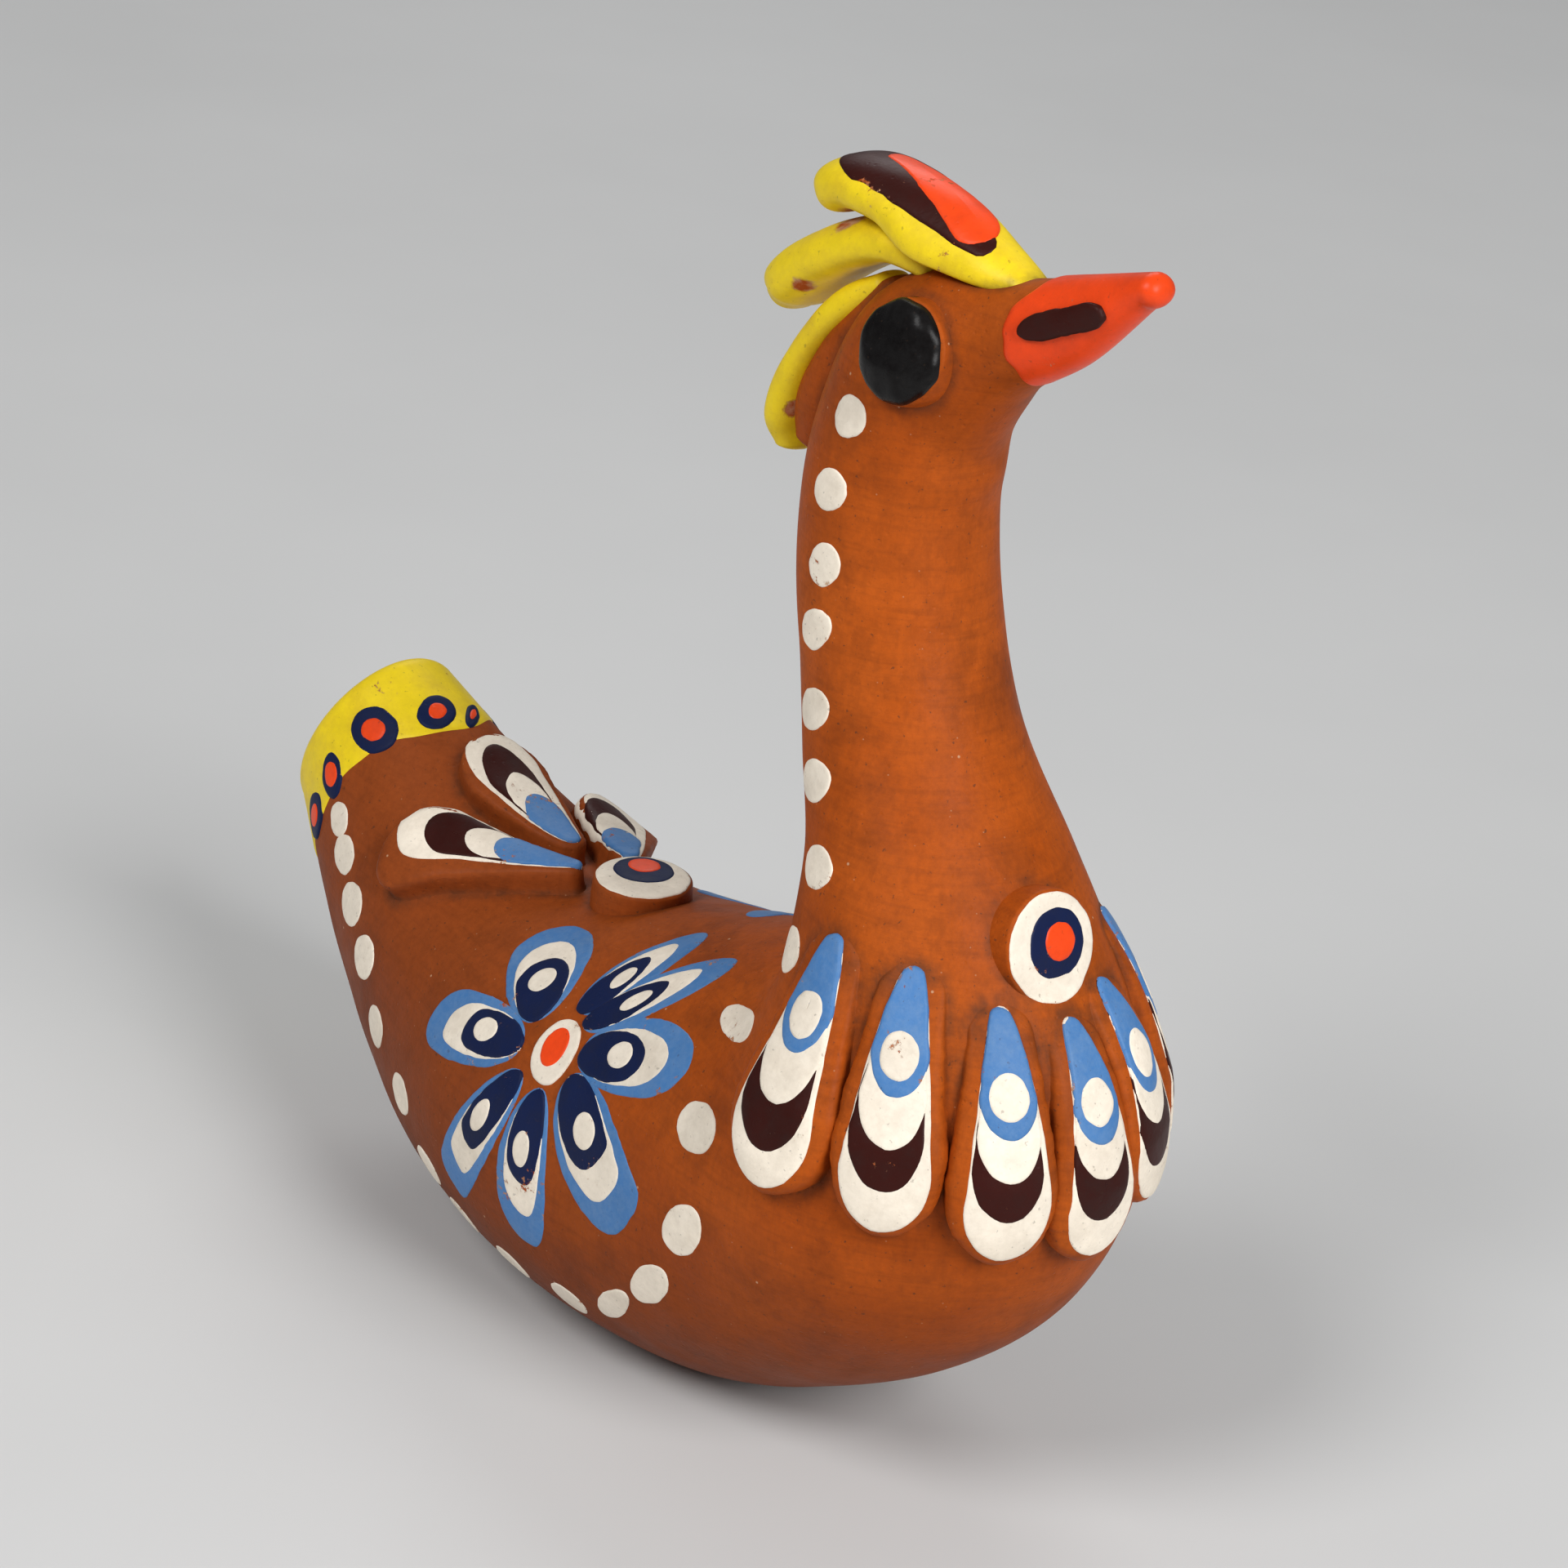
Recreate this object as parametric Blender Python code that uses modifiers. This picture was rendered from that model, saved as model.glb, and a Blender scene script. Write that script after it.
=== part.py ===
"""Bird whistle of fired and painted clay, in metres, +Z up, beak towards +X.

The whistle is one hollow fired piece that stands on a small flat under its belly.
Its body is a loft from the tail, which is the mouthpiece, through the belly and the
neck to the tip of the beak. Raised feathers, petals, discs, eyes and a crest of three
tongues are joined to it. The chamber, the windway and the window are cut out of it.
"""

import math

import bmesh
import bpy
from mathutils import Vector
from mathutils.bvhtree import BVHTree

MM = 0.001

# Sections of the body, tail to beak, in mm: back x, back z, belly x, belly z, half width
BODY_SECTIONS = [
    (-54.2, 45.6, -64.0, 26.3, 8.2),
    (-45.8, 41.9, -55.2, 16.1, 11.0),
    (-37.2, 38.2, -43.0, 7.8, 14.6),
    (-29.0, 35.9, -30.2, 2.4, 18.0),
    (-21.5, 36.0, -18.0, 0.2, 20.5),
    (-14.0, 37.4, -4.0, -0.6, 21.5),
    (-6.0, 39.7, 9.8, 0.8, 20.8),
    (2.2, 42.4, 21.5, 6.0, 20.2),
    (10.6, 45.0, 32.2, 13.5, 19.8),
    (12.8, 48.4, 39.2, 21.2, 18.6),
    (12.1, 53.0, 42.9, 31.0, 16.2),
    (10.6, 59.6, 42.0, 44.7, 13.2),
    (7.7, 66.2, 34.6, 56.4, 10.9),
    (5.7, 72.8, 26.4, 67.0, 9.1),
    (4.1, 80.0, 22.1, 76.5, 8.6),
    (3.6, 86.7, 20.3, 85.7, 8.1),
    (4.6, 94.2, 20.5, 89.5, 7.7),
    (8.2, 102.5, 20.6, 92.2, 7.4),
    (14.4, 106.6, 22.5, 95.9, 6.4),
    (22.6, 108.0, 25.1, 99.3, 4.6),
    (29.7, 110.2, 31.2, 103.7, 2.9),
    (37.0, 112.6, 37.3, 109.3, 1.8),
]
RINGS_PER_SECTION = 2
BODY_SEGMENTS = 36
TAIL_END_ROUND = 1.6
BEAK_END_ROUND = 1.2
END_RINGS = 3

# Chamber, in mm, and the stretch of the body that it fills, counted in sections
WALL = 3.2
CHAMBER_FIRST = 1.3
CHAMBER_LAST = 11.4
CHAMBER_SEGMENTS = 24
CHAMBER_RINGS = 22
CHAMBER_END_ROUND = 0.45

# Windway through the mouthpiece, window and bevelled lip on the underside of the tail, in mm
WINDWAY_WIDTH = 7.6
WINDOW_WIDTH = 8.4
LIP_WIDTH = 9.0
WINDWAY_HEIGHT = 1.5
WINDWAY_FLOOR = 2.3
WINDWAY_LENGTH = 14.6
WINDOW_LENGTH = 5.0
WINDOW_DEPTH = 6.5
LIP_RAMP_LENGTH = 7.5
LIP_THICKNESS = 0.9
CUT_OVERRUN = 3.0

# Flat under the belly
FLAT_HEIGHT = 0.0

# How far outside the body the search for its skin begins, in mm
OUTSIDE = 120.0

# Raised feathers round the chest: degrees about an upright axis in the chest at the top and
# at the tip; then, in mm, the heights of the top and of the tip, and the half width
CHEST_AXIS_X = 23.5
FEATHERS = (
    (-87.5, -80.5, 54.2, 33.2, 4.8),
    (-54.0, -51.0, 53.9, 32.7, 4.6),
    (-24.5, -23.0, 51.7, 31.3, 4.3),
    (-1.5, 0.5, 50.4, 30.4, 4.3),
    (18.5, 21.5, 51.9, 31.6, 4.4),
    (51.0, 52.5, 54.6, 32.8, 4.6),
    (86.5, 80.5, 54.2, 33.2, 4.8),
)
FEATHER_TOP_SHARE = 0.25
FEATHER_WIDEST_AT = 0.72
FEATHER_RISE = 2.5
FEATHER_TOP_RISE = 0.4

# Raised petals on the back: degrees about the back disc; then, in mm, how far the inner end
# lies from the middle of the disc, the length and the half width
PETALS = (
    (-22.0, 5.2, 19.4, 3.3),
    (0.0, 9.8, 17.0, 3.9),
    (26.0, 5.4, 16.6, 3.4),
)
PETAL_INNER_SHARE = 0.22
PETAL_WIDEST_AT = 0.74
PETAL_RISE = 2.6

# The rings of a tongue crowd towards its round end and stop just short of it
TONGUE_RINGS = 14
TONGUE_CROWDING = 1.5
TONGUE_LAST_SHARE = 0.985
TONGUE_ARC_POINTS = 9
TONGUE_SINK = 1.4
TONGUE_SQUARENESS = 0.45
TONGUE_SIDE_ANGLE = math.radians(14.0)

# Discs, in mm: the back disc lies level and the chest disc faces forward
BACK_DISC_X = -16.6
BACK_DISC_TOP_Z = 38.9
BACK_DISC_RADIUS = 4.5
BACK_DISC_SINK = 2.3
CHEST_DISC_Z = 54.9
CHEST_DISC_RADIUS = 4.6
CHEST_DISC_TILT = 14.0
CHEST_DISC_RISE = 1.4
DISC_DEPTH = 5.0
DISC_EDGE_ROUND = 0.5
DISC_SEGMENTS = 24

# Eyes, in mm: a black dome on a low clay boss that lies a little further forward and down
EYE_X = 17.5
EYE_Z = 101.2
EYE_BOSS_X = 18.1
EYE_BOSS_Z = 100.8
EYE_BOSS_RADIUS = 4.6
EYE_BOSS_RISE = 0.7
EYE_RADIUS = 4.15
EYE_RISE = 1.9

# Crest tongues on the middle plane, in mm: x, z, half width, half thickness, and how far
# the two sides hang down towards the head
CREST_FRONT = [
    (24.6, 107.5, 1.7, 0.9, 0.2),
    (20.0, 108.9, 3.3, 1.5, 1.4),
    (14.6, 110.4, 4.2, 1.9, 2.4),
    (9.4, 111.0, 4.3, 2.1, 1.1),
    (4.6, 110.8, 4.2, 2.2, 0.4),
    (1.8, 109.7, 3.8, 2.2, 0.2),
    (0.3, 108.9, 2.4, 1.4, 0.0),
]
CREST_MIDDLE = [
    (13.8, 106.7, 2.5, 1.3, 0.5),
    (9.6, 107.3, 3.6, 1.8, 0.5),
    (5.2, 105.9, 4.1, 2.1, 0.3),
    (0.8, 103.3, 4.2, 2.3, 0.2),
    (-2.8, 100.3, 3.9, 2.4, 0.0),
    (-4.1, 98.8, 2.6, 1.7, 0.0),
]
CREST_BACK = [
    (8.0, 103.0, 2.0, 1.2, 0.0),
    (5.2, 100.8, 3.3, 1.5, 0.0),
    (2.2, 97.2, 3.9, 1.6, 0.0),
    (-0.1, 93.0, 4.0, 1.8, 0.0),
    (-1.2, 89.2, 3.8, 1.9, 0.0),
    (-1.0, 86.7, 2.6, 1.4, 0.0),
]
CREST_WEB = [
    (9.5, 102.4, 2.6, 2.0, 0.0),
    (6.0, 97.4, 3.6, 2.4, 0.0),
    (3.0, 91.9, 3.8, 2.7, 0.0),
    (2.0, 88.0, 2.8, 2.0, 0.0),
]
CREST_RINGS_PER_POINT = 2
CREST_SEGMENTS = 16
CREST_SQUARENESS = 0.8

CLAY = ("clay", (0.32, 0.085, 0.022), 0.72)
YELLOW = ("yellow_paint", (0.86, 0.62, 0.02), 0.5)
CREAM = ("cream_paint", (0.74, 0.70, 0.60), 0.55)
BLACK = ("black_paint", (0.012, 0.012, 0.014), 0.25)


def clear_scene():
    for obj in list(bpy.data.objects):
        bpy.data.objects.remove(obj, do_unlink=True)


def make_collection(name):
    collection = bpy.data.collections.new(name)
    bpy.context.scene.collection.children.link(collection)
    return collection


def make_material(finish):
    name, colour, roughness = finish
    material = bpy.data.materials.get(name) or bpy.data.materials.new(name)
    material.use_nodes = True
    shader = material.node_tree.nodes["Principled BSDF"]
    shader.inputs["Base Color"].default_value = (*colour, 1.0)
    shader.inputs["Roughness"].default_value = roughness
    material.diffuse_color = (*colour, 1.0)
    return material


def make_object(name, mesh, collection, finish):
    obj = bpy.data.objects.new(name, mesh)
    collection.objects.link(obj)
    mesh.materials.append(make_material(finish))
    return obj


def make_guide(obj):
    obj.display_type = "WIRE"
    obj.hide_render = True
    return obj


def smooth_value(rows, place):
    """The row at a fractional place along a list of rows, on a Catmull-Rom curve."""
    last = len(rows) - 1
    first = min(int(place), last - 1)
    part = place - first
    before = rows[first - 1] if first > 0 else [2 * a - b for a, b in zip(rows[0], rows[1])]
    after = rows[first + 2] if first + 2 <= last else [2 * a - b for a, b in zip(rows[last], rows[last - 1])]
    result = []
    for p0, p1, p2, p3 in zip(before, rows[first], rows[first + 1], after):
        bend = (2 * p0 - 5 * p1 + 4 * p2 - p3) * part ** 2 + (-p0 + 3 * p1 - 3 * p2 + p3) * part ** 3
        result.append(0.5 * (2 * p1 + (p2 - p0) * part + bend))
    return result


def even_places(first, last, count):
    return [first + (last - first) * index / (count - 1) for index in range(count)]


def body_ring(place, segments, inset=0.0, push=0.0, shrink=0.0):
    """One oval section of the body, in mm; push moves it along the body, towards the beak."""
    back_x, back_z, belly_x, belly_z, half_width = smooth_value(BODY_SECTIONS, place)
    centre = Vector(((back_x + belly_x) / 2, 0.0, (back_z + belly_z) / 2))
    upward = Vector(((back_x - belly_x) / 2, 0.0, (back_z - belly_z) / 2))
    half_height = upward.length - inset - shrink
    upward.normalize()
    along = Vector((upward.z, 0.0, -upward.x))
    half_width = half_width - inset - shrink
    ring = []
    for index in range(segments):
        angle = 2 * math.pi * index / segments
        sideways = Vector((0.0, math.sin(angle) * half_width, 0.0))
        ring.append(centre + along * push + upward * (math.cos(angle) * half_height) + sideways)
    return ring


def rounded_end(place, segments, radius, direction, inset=0.0):
    """Rings that round the rim of a loft's end, from the full section outward."""
    rings = []
    for index in range(1, END_RINGS + 1):
        angle = math.pi / 2 * index / END_RINGS
        push = direction * radius * math.sin(angle)
        rings.append(body_ring(place, segments, inset, push, radius * (1 - math.cos(angle))))
    return rings


def mesh_from_rings(name, rings):
    """A closed mesh of triangles through rings of equal length, closed at both ends; rings in mm."""
    mesh = bpy.data.meshes.new(name)
    shape = bmesh.new()
    loops = [[shape.verts.new(point * MM) for point in ring] for ring in rings]
    count = len(rings[0])
    for near, far in zip(loops, loops[1:]):
        for index in range(count):
            following = (index + 1) % count
            shape.faces.new((near[index], near[following], far[following], far[index]))
    for ring, loop in ((rings[0], loops[0]), (rings[-1], loops[-1])):
        middle = shape.verts.new(sum(ring, Vector()) / count * MM)
        for index in range(count):
            shape.faces.new((loop[index], loop[(index + 1) % count], middle))
    bmesh.ops.triangulate(shape, faces=shape.faces)
    bmesh.ops.recalc_face_normals(shape, faces=shape.faces)
    shape.to_mesh(mesh)
    shape.free()
    return mesh


def body_rings():
    last = len(BODY_SECTIONS) - 1
    count = last * RINGS_PER_SECTION + 1
    tail = rounded_end(0.0, BODY_SEGMENTS, TAIL_END_ROUND, -1)
    beak = rounded_end(last, BODY_SEGMENTS, BEAK_END_ROUND, 1)
    middle = [body_ring(place, BODY_SEGMENTS) for place in even_places(0.0, last, count)]
    return list(reversed(tail)) + middle + beak


def chamber_rings():
    """The chamber keeps the wall from the outer surface and closes in at both ends."""
    rings = []
    for place in even_places(CHAMBER_FIRST, CHAMBER_LAST, CHAMBER_RINGS):
        from_end = min(place - CHAMBER_FIRST, CHAMBER_LAST - place)
        closing = max(0.0, 1.0 - from_end / CHAMBER_END_ROUND)
        rings.append(body_ring(place, CHAMBER_SEGMENTS, WALL, 0.0, WALL * closing ** 2))
    return rings


class Skin:
    """The outer surface of the body, asked for the point that lies under a place."""

    def __init__(self, mesh):
        shape = bmesh.new()
        shape.from_mesh(mesh)
        self.tree = BVHTree.FromBMesh(shape)
        shape.free()

    def under(self, start, direction):
        """Where a ray meets the body, with the outward normal there; all in mm."""
        place, normal, _, _ = self.tree.ray_cast(start * MM, direction.normalized())
        if normal.dot(direction) > 0:
            normal = -normal
        return place / MM, normal


def tongue_width(share, narrow_share, widest_at):
    """Half width of a drop-shaped tongue, 0 to 1, from its narrow end to its round end."""
    if share < widest_at:
        rise = math.sin(math.pi / 2 * share / widest_at)
        return narrow_share + (1 - narrow_share) * rise
    fall = (share - widest_at) / (1 - widest_at)
    return math.sqrt(max(0.0, 1 - fall ** 2))


def tongue_rings(skin, place_on_path, half_width, narrow_share, widest_at, rises):
    """A raised tongue that follows the skin; place_on_path gives start, direction and side."""
    rings = []
    for index in range(TONGUE_RINGS):
        share = 1 - (1 - index / (TONGUE_RINGS - 1)) ** TONGUE_CROWDING
        share = min(share, TONGUE_LAST_SHARE)
        start, direction, side = place_on_path(share)
        width = half_width * tongue_width(share, narrow_share, widest_at)
        rise = rises[0] + (rises[1] - rises[0]) * min(1.0, share / widest_at)
        ring = []
        for step in range(TONGUE_ARC_POINTS):
            angle = TONGUE_SIDE_ANGLE + (math.pi - 2 * TONGUE_SIDE_ANGLE) * step / (TONGUE_ARC_POINTS - 1)
            across = math.copysign(abs(math.cos(angle)) ** TONGUE_SQUARENESS, math.cos(angle))
            height = rise * math.sin(angle) ** TONGUE_SQUARENESS
            foot, normal = skin.under(start + side * (width * across), direction)
            ring.append(foot + normal * height)
        for across in (-1.0, 1.0):
            foot, normal = skin.under(start + side * (width * across), direction)
            ring.append(foot - normal * TONGUE_SINK)
        rings.append(ring)
    return rings


def feather_path(top_angle, tip_angle, top, tip):
    """Path of one chest feather, down the chest at an angle about the chest axis."""

    def place(share):
        turn = math.radians(top_angle + (tip_angle - top_angle) * share)
        outward = Vector((math.cos(turn), math.sin(turn), 0.0))
        side = Vector((-outward.y, outward.x, 0.0))
        height = top + (tip - top) * share
        start = Vector((CHEST_AXIS_X, 0.0, height)) + outward * OUTSIDE
        return start, -outward, side

    return place


def petal_path(angle, inner_reach, length):
    """Path of one back petal, from beside the back disc towards the tail."""
    turn = math.radians(angle)
    outward = Vector((-math.cos(turn), math.sin(turn), 0.0))
    side = Vector((-outward.y, outward.x, 0.0))

    def place(share):
        reach = inner_reach + length * share
        start = Vector((BACK_DISC_X, 0.0, OUTSIDE)) + outward * reach
        return start, Vector((0.0, 0.0, -1.0)), side

    return place


def crest_rings(points):
    """A tongue of clay along a curve on the middle plane, with an oval section."""
    count = (len(points) - 1) * CREST_RINGS_PER_POINT + 1
    rows = [smooth_value(points, place) for place in even_places(0.0, len(points) - 1, count)]
    rings = []
    for index, (x, z, half_width, half_thickness, droop) in enumerate(rows):
        before = rows[max(0, index - 1)]
        after = rows[min(count - 1, index + 1)]
        along = Vector((after[0] - before[0], 0.0, after[1] - before[1])).normalized()
        headward = Vector((-along.z, 0.0, along.x))
        ring = []
        for step in range(CREST_SEGMENTS):
            angle = 2 * math.pi * step / CREST_SEGMENTS
            across = math.copysign(abs(math.sin(angle)) ** CREST_SQUARENESS, math.sin(angle))
            height = math.copysign(abs(math.cos(angle)) ** CREST_SQUARENESS, math.cos(angle))
            offset = headward * (height * half_thickness + droop * across ** 2)
            ring.append(Vector((x, across * half_width, z)) + offset)
        rings.append(ring)
    return rings


def turned_disc(name, collection, finish, centre, normal, radius, rise, depth, edge):
    """A disc of clay set into the body, its face lying rise above the centre; sizes in mm."""
    bpy.ops.mesh.primitive_cylinder_add(vertices=DISC_SEGMENTS, radius=radius * MM, depth=depth * MM)
    obj = bpy.context.object
    obj.name = name
    for owner in list(obj.users_collection):
        owner.objects.unlink(obj)
    collection.objects.link(obj)
    obj.location = (centre + normal * (rise - depth / 2)) * MM
    obj.rotation_mode = "QUATERNION"
    obj.rotation_quaternion = normal.to_track_quat("Z", "Y")
    obj.data.materials.append(make_material(finish))
    bevel = obj.modifiers.new("rounded_rim", "BEVEL")
    bevel.width = edge * MM
    bevel.segments = 3
    bevel.limit_method = "ANGLE"
    return make_guide(obj)


def mouth_frame():
    """Origin at the lower rim of the mouthpiece, one direction along the belly, one inward."""
    lower = Vector((BODY_SECTIONS[0][2], 0.0, BODY_SECTIONS[0][3]))
    further = Vector((BODY_SECTIONS[1][2], 0.0, BODY_SECTIONS[1][3]))
    along = (further - lower).normalized()
    inward = Vector((-along.z, 0.0, along.x))
    return lower, along, inward


def prism(name, collection, outline, width):
    """A straight block across the bird from an outline of (along, inward) places, in mm."""
    origin, along, inward = mouth_frame()
    rings = []
    for y in (-width / 2, width / 2):
        offset = Vector((0.0, y, 0.0))
        rings.append([origin + along * a + inward * b + offset for a, b in outline])
    return make_guide(make_object(name, mesh_from_rings(name, rings), collection, CLAY))


def add_relief(skin, collection):
    for number, (top_angle, tip_angle, top, tip, half_width) in enumerate(FEATHERS, start=1):
        rises = (FEATHER_TOP_RISE, FEATHER_RISE)
        path = feather_path(top_angle, tip_angle, top, tip)
        rings = tongue_rings(skin, path, half_width, FEATHER_TOP_SHARE, FEATHER_WIDEST_AT, rises)
        name = f"feather_{number}"
        make_guide(make_object(name, mesh_from_rings(name, rings), collection, CREAM))
    for number, (angle, inner_reach, length, half_width) in enumerate(PETALS, start=1):
        rises = (PETAL_RISE, PETAL_RISE)
        path = petal_path(angle, inner_reach, length)
        rings = tongue_rings(skin, path, half_width, PETAL_INNER_SHARE, PETAL_WIDEST_AT, rises)
        name = f"back_petal_{number}"
        make_guide(make_object(name, mesh_from_rings(name, rings), collection, CREAM))
    for name, points, finish in (
        ("crest_front", CREST_FRONT, YELLOW),
        ("crest_middle", CREST_MIDDLE, YELLOW),
        ("crest_back", CREST_BACK, YELLOW),
        ("crest_web", CREST_WEB, CLAY),
    ):
        make_guide(make_object(name, mesh_from_rings(name, crest_rings(points)), collection, finish))


def add_discs(skin, collection):
    upright = Vector((0.0, 0.0, 1.0))
    seat, _ = skin.under(Vector((BACK_DISC_X, 0.0, OUTSIDE)), -upright)
    rise = BACK_DISC_TOP_Z - seat.z
    turned_disc("back_disc", collection, CREAM, seat, upright, BACK_DISC_RADIUS, rise,
                rise + BACK_DISC_SINK, DISC_EDGE_ROUND)
    chest, _ = skin.under(Vector((OUTSIDE, 0.0, CHEST_DISC_Z)), Vector((-1.0, 0.0, 0.0)))
    tilt = math.radians(CHEST_DISC_TILT)
    facing = Vector((math.cos(tilt), 0.0, math.sin(tilt)))
    turned_disc("chest_disc", collection, CREAM, chest, facing, CHEST_DISC_RADIUS, CHEST_DISC_RISE,
                DISC_DEPTH, DISC_EDGE_ROUND)
    for name, side in (("right", -1.0), ("left", 1.0)):
        inward = Vector((0.0, -side, 0.0))
        boss, _ = skin.under(Vector((EYE_BOSS_X, side * OUTSIDE, EYE_BOSS_Z)), inward)
        place, normal = skin.under(Vector((EYE_X, side * OUTSIDE, EYE_Z)), inward)
        turned_disc(f"{name}_eye_boss", collection, CLAY, boss, normal, EYE_BOSS_RADIUS,
                    EYE_BOSS_RISE, DISC_DEPTH, EYE_BOSS_RISE / 2)
        turned_disc(f"{name}_eye", collection, BLACK, place, normal, EYE_RADIUS,
                    EYE_RISE, DISC_DEPTH, EYE_RISE - EYE_BOSS_RISE)


def add_hollows(collection):
    chamber = mesh_from_rings("chamber", chamber_rings())
    make_guide(make_object("chamber", chamber, collection, CLAY))
    roof = WINDWAY_FLOOR + WINDWAY_HEIGHT
    window_end = WINDWAY_LENGTH + WINDOW_LENGTH
    prism("windway", collection, [
        (-CUT_OVERRUN, WINDWAY_FLOOR),
        (WINDWAY_LENGTH + WINDOW_LENGTH / 2, WINDWAY_FLOOR),
        (WINDWAY_LENGTH + WINDOW_LENGTH / 2, roof),
        (-CUT_OVERRUN, roof),
    ], WINDWAY_WIDTH)
    prism("window", collection, [
        (WINDWAY_LENGTH, -CUT_OVERRUN),
        (window_end, -CUT_OVERRUN),
        (window_end, WINDOW_DEPTH),
        (WINDWAY_LENGTH, WINDOW_DEPTH),
    ], WINDOW_WIDTH)
    lip = WALL - LIP_THICKNESS
    prism("lip_ramp", collection, [
        (window_end - LIP_THICKNESS, -CUT_OVERRUN),
        (window_end + LIP_RAMP_LENGTH, -CUT_OVERRUN),
        (window_end + LIP_RAMP_LENGTH, 0.0),
        (window_end - LIP_THICKNESS, lip),
    ], LIP_WIDTH)
    flat_size = 2 * max(abs(value) for row in BODY_SECTIONS for value in row)
    bpy.ops.mesh.primitive_cube_add(size=flat_size * MM)
    block = bpy.context.object
    block.name = "flat_cut"
    for owner in list(block.users_collection):
        owner.objects.unlink(block)
    collection.objects.link(block)
    block.location = (0.0, 0.0, (FLAT_HEIGHT - flat_size / 2) * MM)
    block.data.materials.append(make_material(CLAY))
    make_guide(block)


def add_booleans(obj, operation, collection):
    for other in collection.objects:
        modifier = obj.modifiers.new(other.name, "BOOLEAN")
        modifier.operation = operation
        modifier.object = other
        modifier.solver = "EXACT"
        modifier.material_mode = "TRANSFER"


def build():
    clear_scene()
    parts = make_collection("bird_whistle")
    relief = make_collection("whistle_relief")
    hollows = make_collection("whistle_hollows")
    whistle = make_object("whistle_body", mesh_from_rings("whistle_body", body_rings()), parts, CLAY)
    skin = Skin(whistle.data)
    add_relief(skin, relief)
    add_discs(skin, relief)
    add_hollows(hollows)
    add_booleans(whistle, "UNION", relief)
    add_booleans(whistle, "DIFFERENCE", hollows)


build()
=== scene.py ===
"""Looks of the painted clay bird whistle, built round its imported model.

Shapes are worked out in millimetres in the part's own frame, beak towards +X and +Z up,
and turned into metres when a mesh is made. The clay comes first: the body with its hollows,
the raised feathers, petals and discs, the eyes and the crest. The paint is laid on the clay
as thin fields of colour. On the side that the photo doesn't show, the dots and the rosette
mirror those of the right side.
"""

import math

import bmesh
import bpy
import numpy as np
from mathutils import Matrix, Vector, noise
from mathutils.bvhtree import BVHTree


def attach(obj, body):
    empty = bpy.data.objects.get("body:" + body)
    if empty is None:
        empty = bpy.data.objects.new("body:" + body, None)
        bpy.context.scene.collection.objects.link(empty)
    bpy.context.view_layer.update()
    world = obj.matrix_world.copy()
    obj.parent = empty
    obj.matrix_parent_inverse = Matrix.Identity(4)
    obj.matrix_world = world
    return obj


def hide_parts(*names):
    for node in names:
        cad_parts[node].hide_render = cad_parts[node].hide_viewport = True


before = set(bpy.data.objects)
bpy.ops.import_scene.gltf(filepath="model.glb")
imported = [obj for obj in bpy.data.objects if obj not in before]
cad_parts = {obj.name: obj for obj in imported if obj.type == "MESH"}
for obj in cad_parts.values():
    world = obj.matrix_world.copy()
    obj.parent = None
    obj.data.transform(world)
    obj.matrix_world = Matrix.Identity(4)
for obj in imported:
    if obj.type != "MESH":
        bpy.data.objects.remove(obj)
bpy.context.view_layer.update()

MM = 0.001
WHISTLE = "whistle_body"
BODY = "root"

# The photo's frame and the camera that goes with it; places in mm, turns in degrees
PHOTO_SIZE = 1920
CAMERA_PLACE = Vector((244.131, -216.861, 200.451))
CAMERA_AZIMUTH = 48.234
CAMERA_ELEVATION = 23.978
CAMERA_ROLL = 6.047
CAMERA_LENS = 94.1
SENSOR_WIDTH = 36.0

# Sections of the body, tail to beak, in mm: back x, back z, belly x, belly z, half width
BODY_SECTIONS = [
    (-54.2, 45.6, -64.0, 26.3, 8.2),
    (-45.8, 41.9, -55.2, 16.1, 11.0),
    (-37.2, 38.2, -43.0, 7.8, 14.6),
    (-29.0, 35.9, -30.2, 2.4, 18.0),
    (-21.5, 36.0, -18.0, 0.2, 20.5),
    (-14.0, 37.4, -4.0, -0.6, 21.5),
    (-6.0, 39.7, 9.8, 0.8, 20.8),
    (2.2, 42.4, 21.5, 6.0, 20.2),
    (10.6, 45.0, 32.2, 13.5, 19.8),
    (12.8, 48.4, 39.2, 21.2, 18.6),
    (12.1, 53.0, 42.9, 31.0, 16.2),
    (10.6, 59.6, 42.0, 44.7, 13.2),
    (7.7, 66.2, 34.6, 56.4, 10.9),
    (5.7, 72.8, 26.4, 67.0, 9.1),
    (4.1, 80.0, 22.1, 76.5, 8.6),
    (3.6, 86.7, 20.3, 85.7, 8.1),
    (4.6, 94.2, 20.5, 89.5, 7.7),
    (8.2, 102.5, 20.6, 92.2, 7.4),
    (14.4, 106.6, 22.5, 95.9, 6.4),
    (22.6, 108.0, 25.1, 99.3, 4.6),
    (29.7, 110.2, 31.2, 103.7, 2.9),
    (37.0, 112.6, 37.2, 110.0, 1.6),
]
LAST_SECTION = len(BODY_SECTIONS) - 1
RINGS_PER_SECTION = 14
BODY_SEGMENTS = 240
TAIL_END_ROUND = 1.6
BEAK_END_ROUND = 1.2
END_RINGS = 8
HAND_WAVE = 0.14
HAND_WAVE_LENGTH = 13.0

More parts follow.
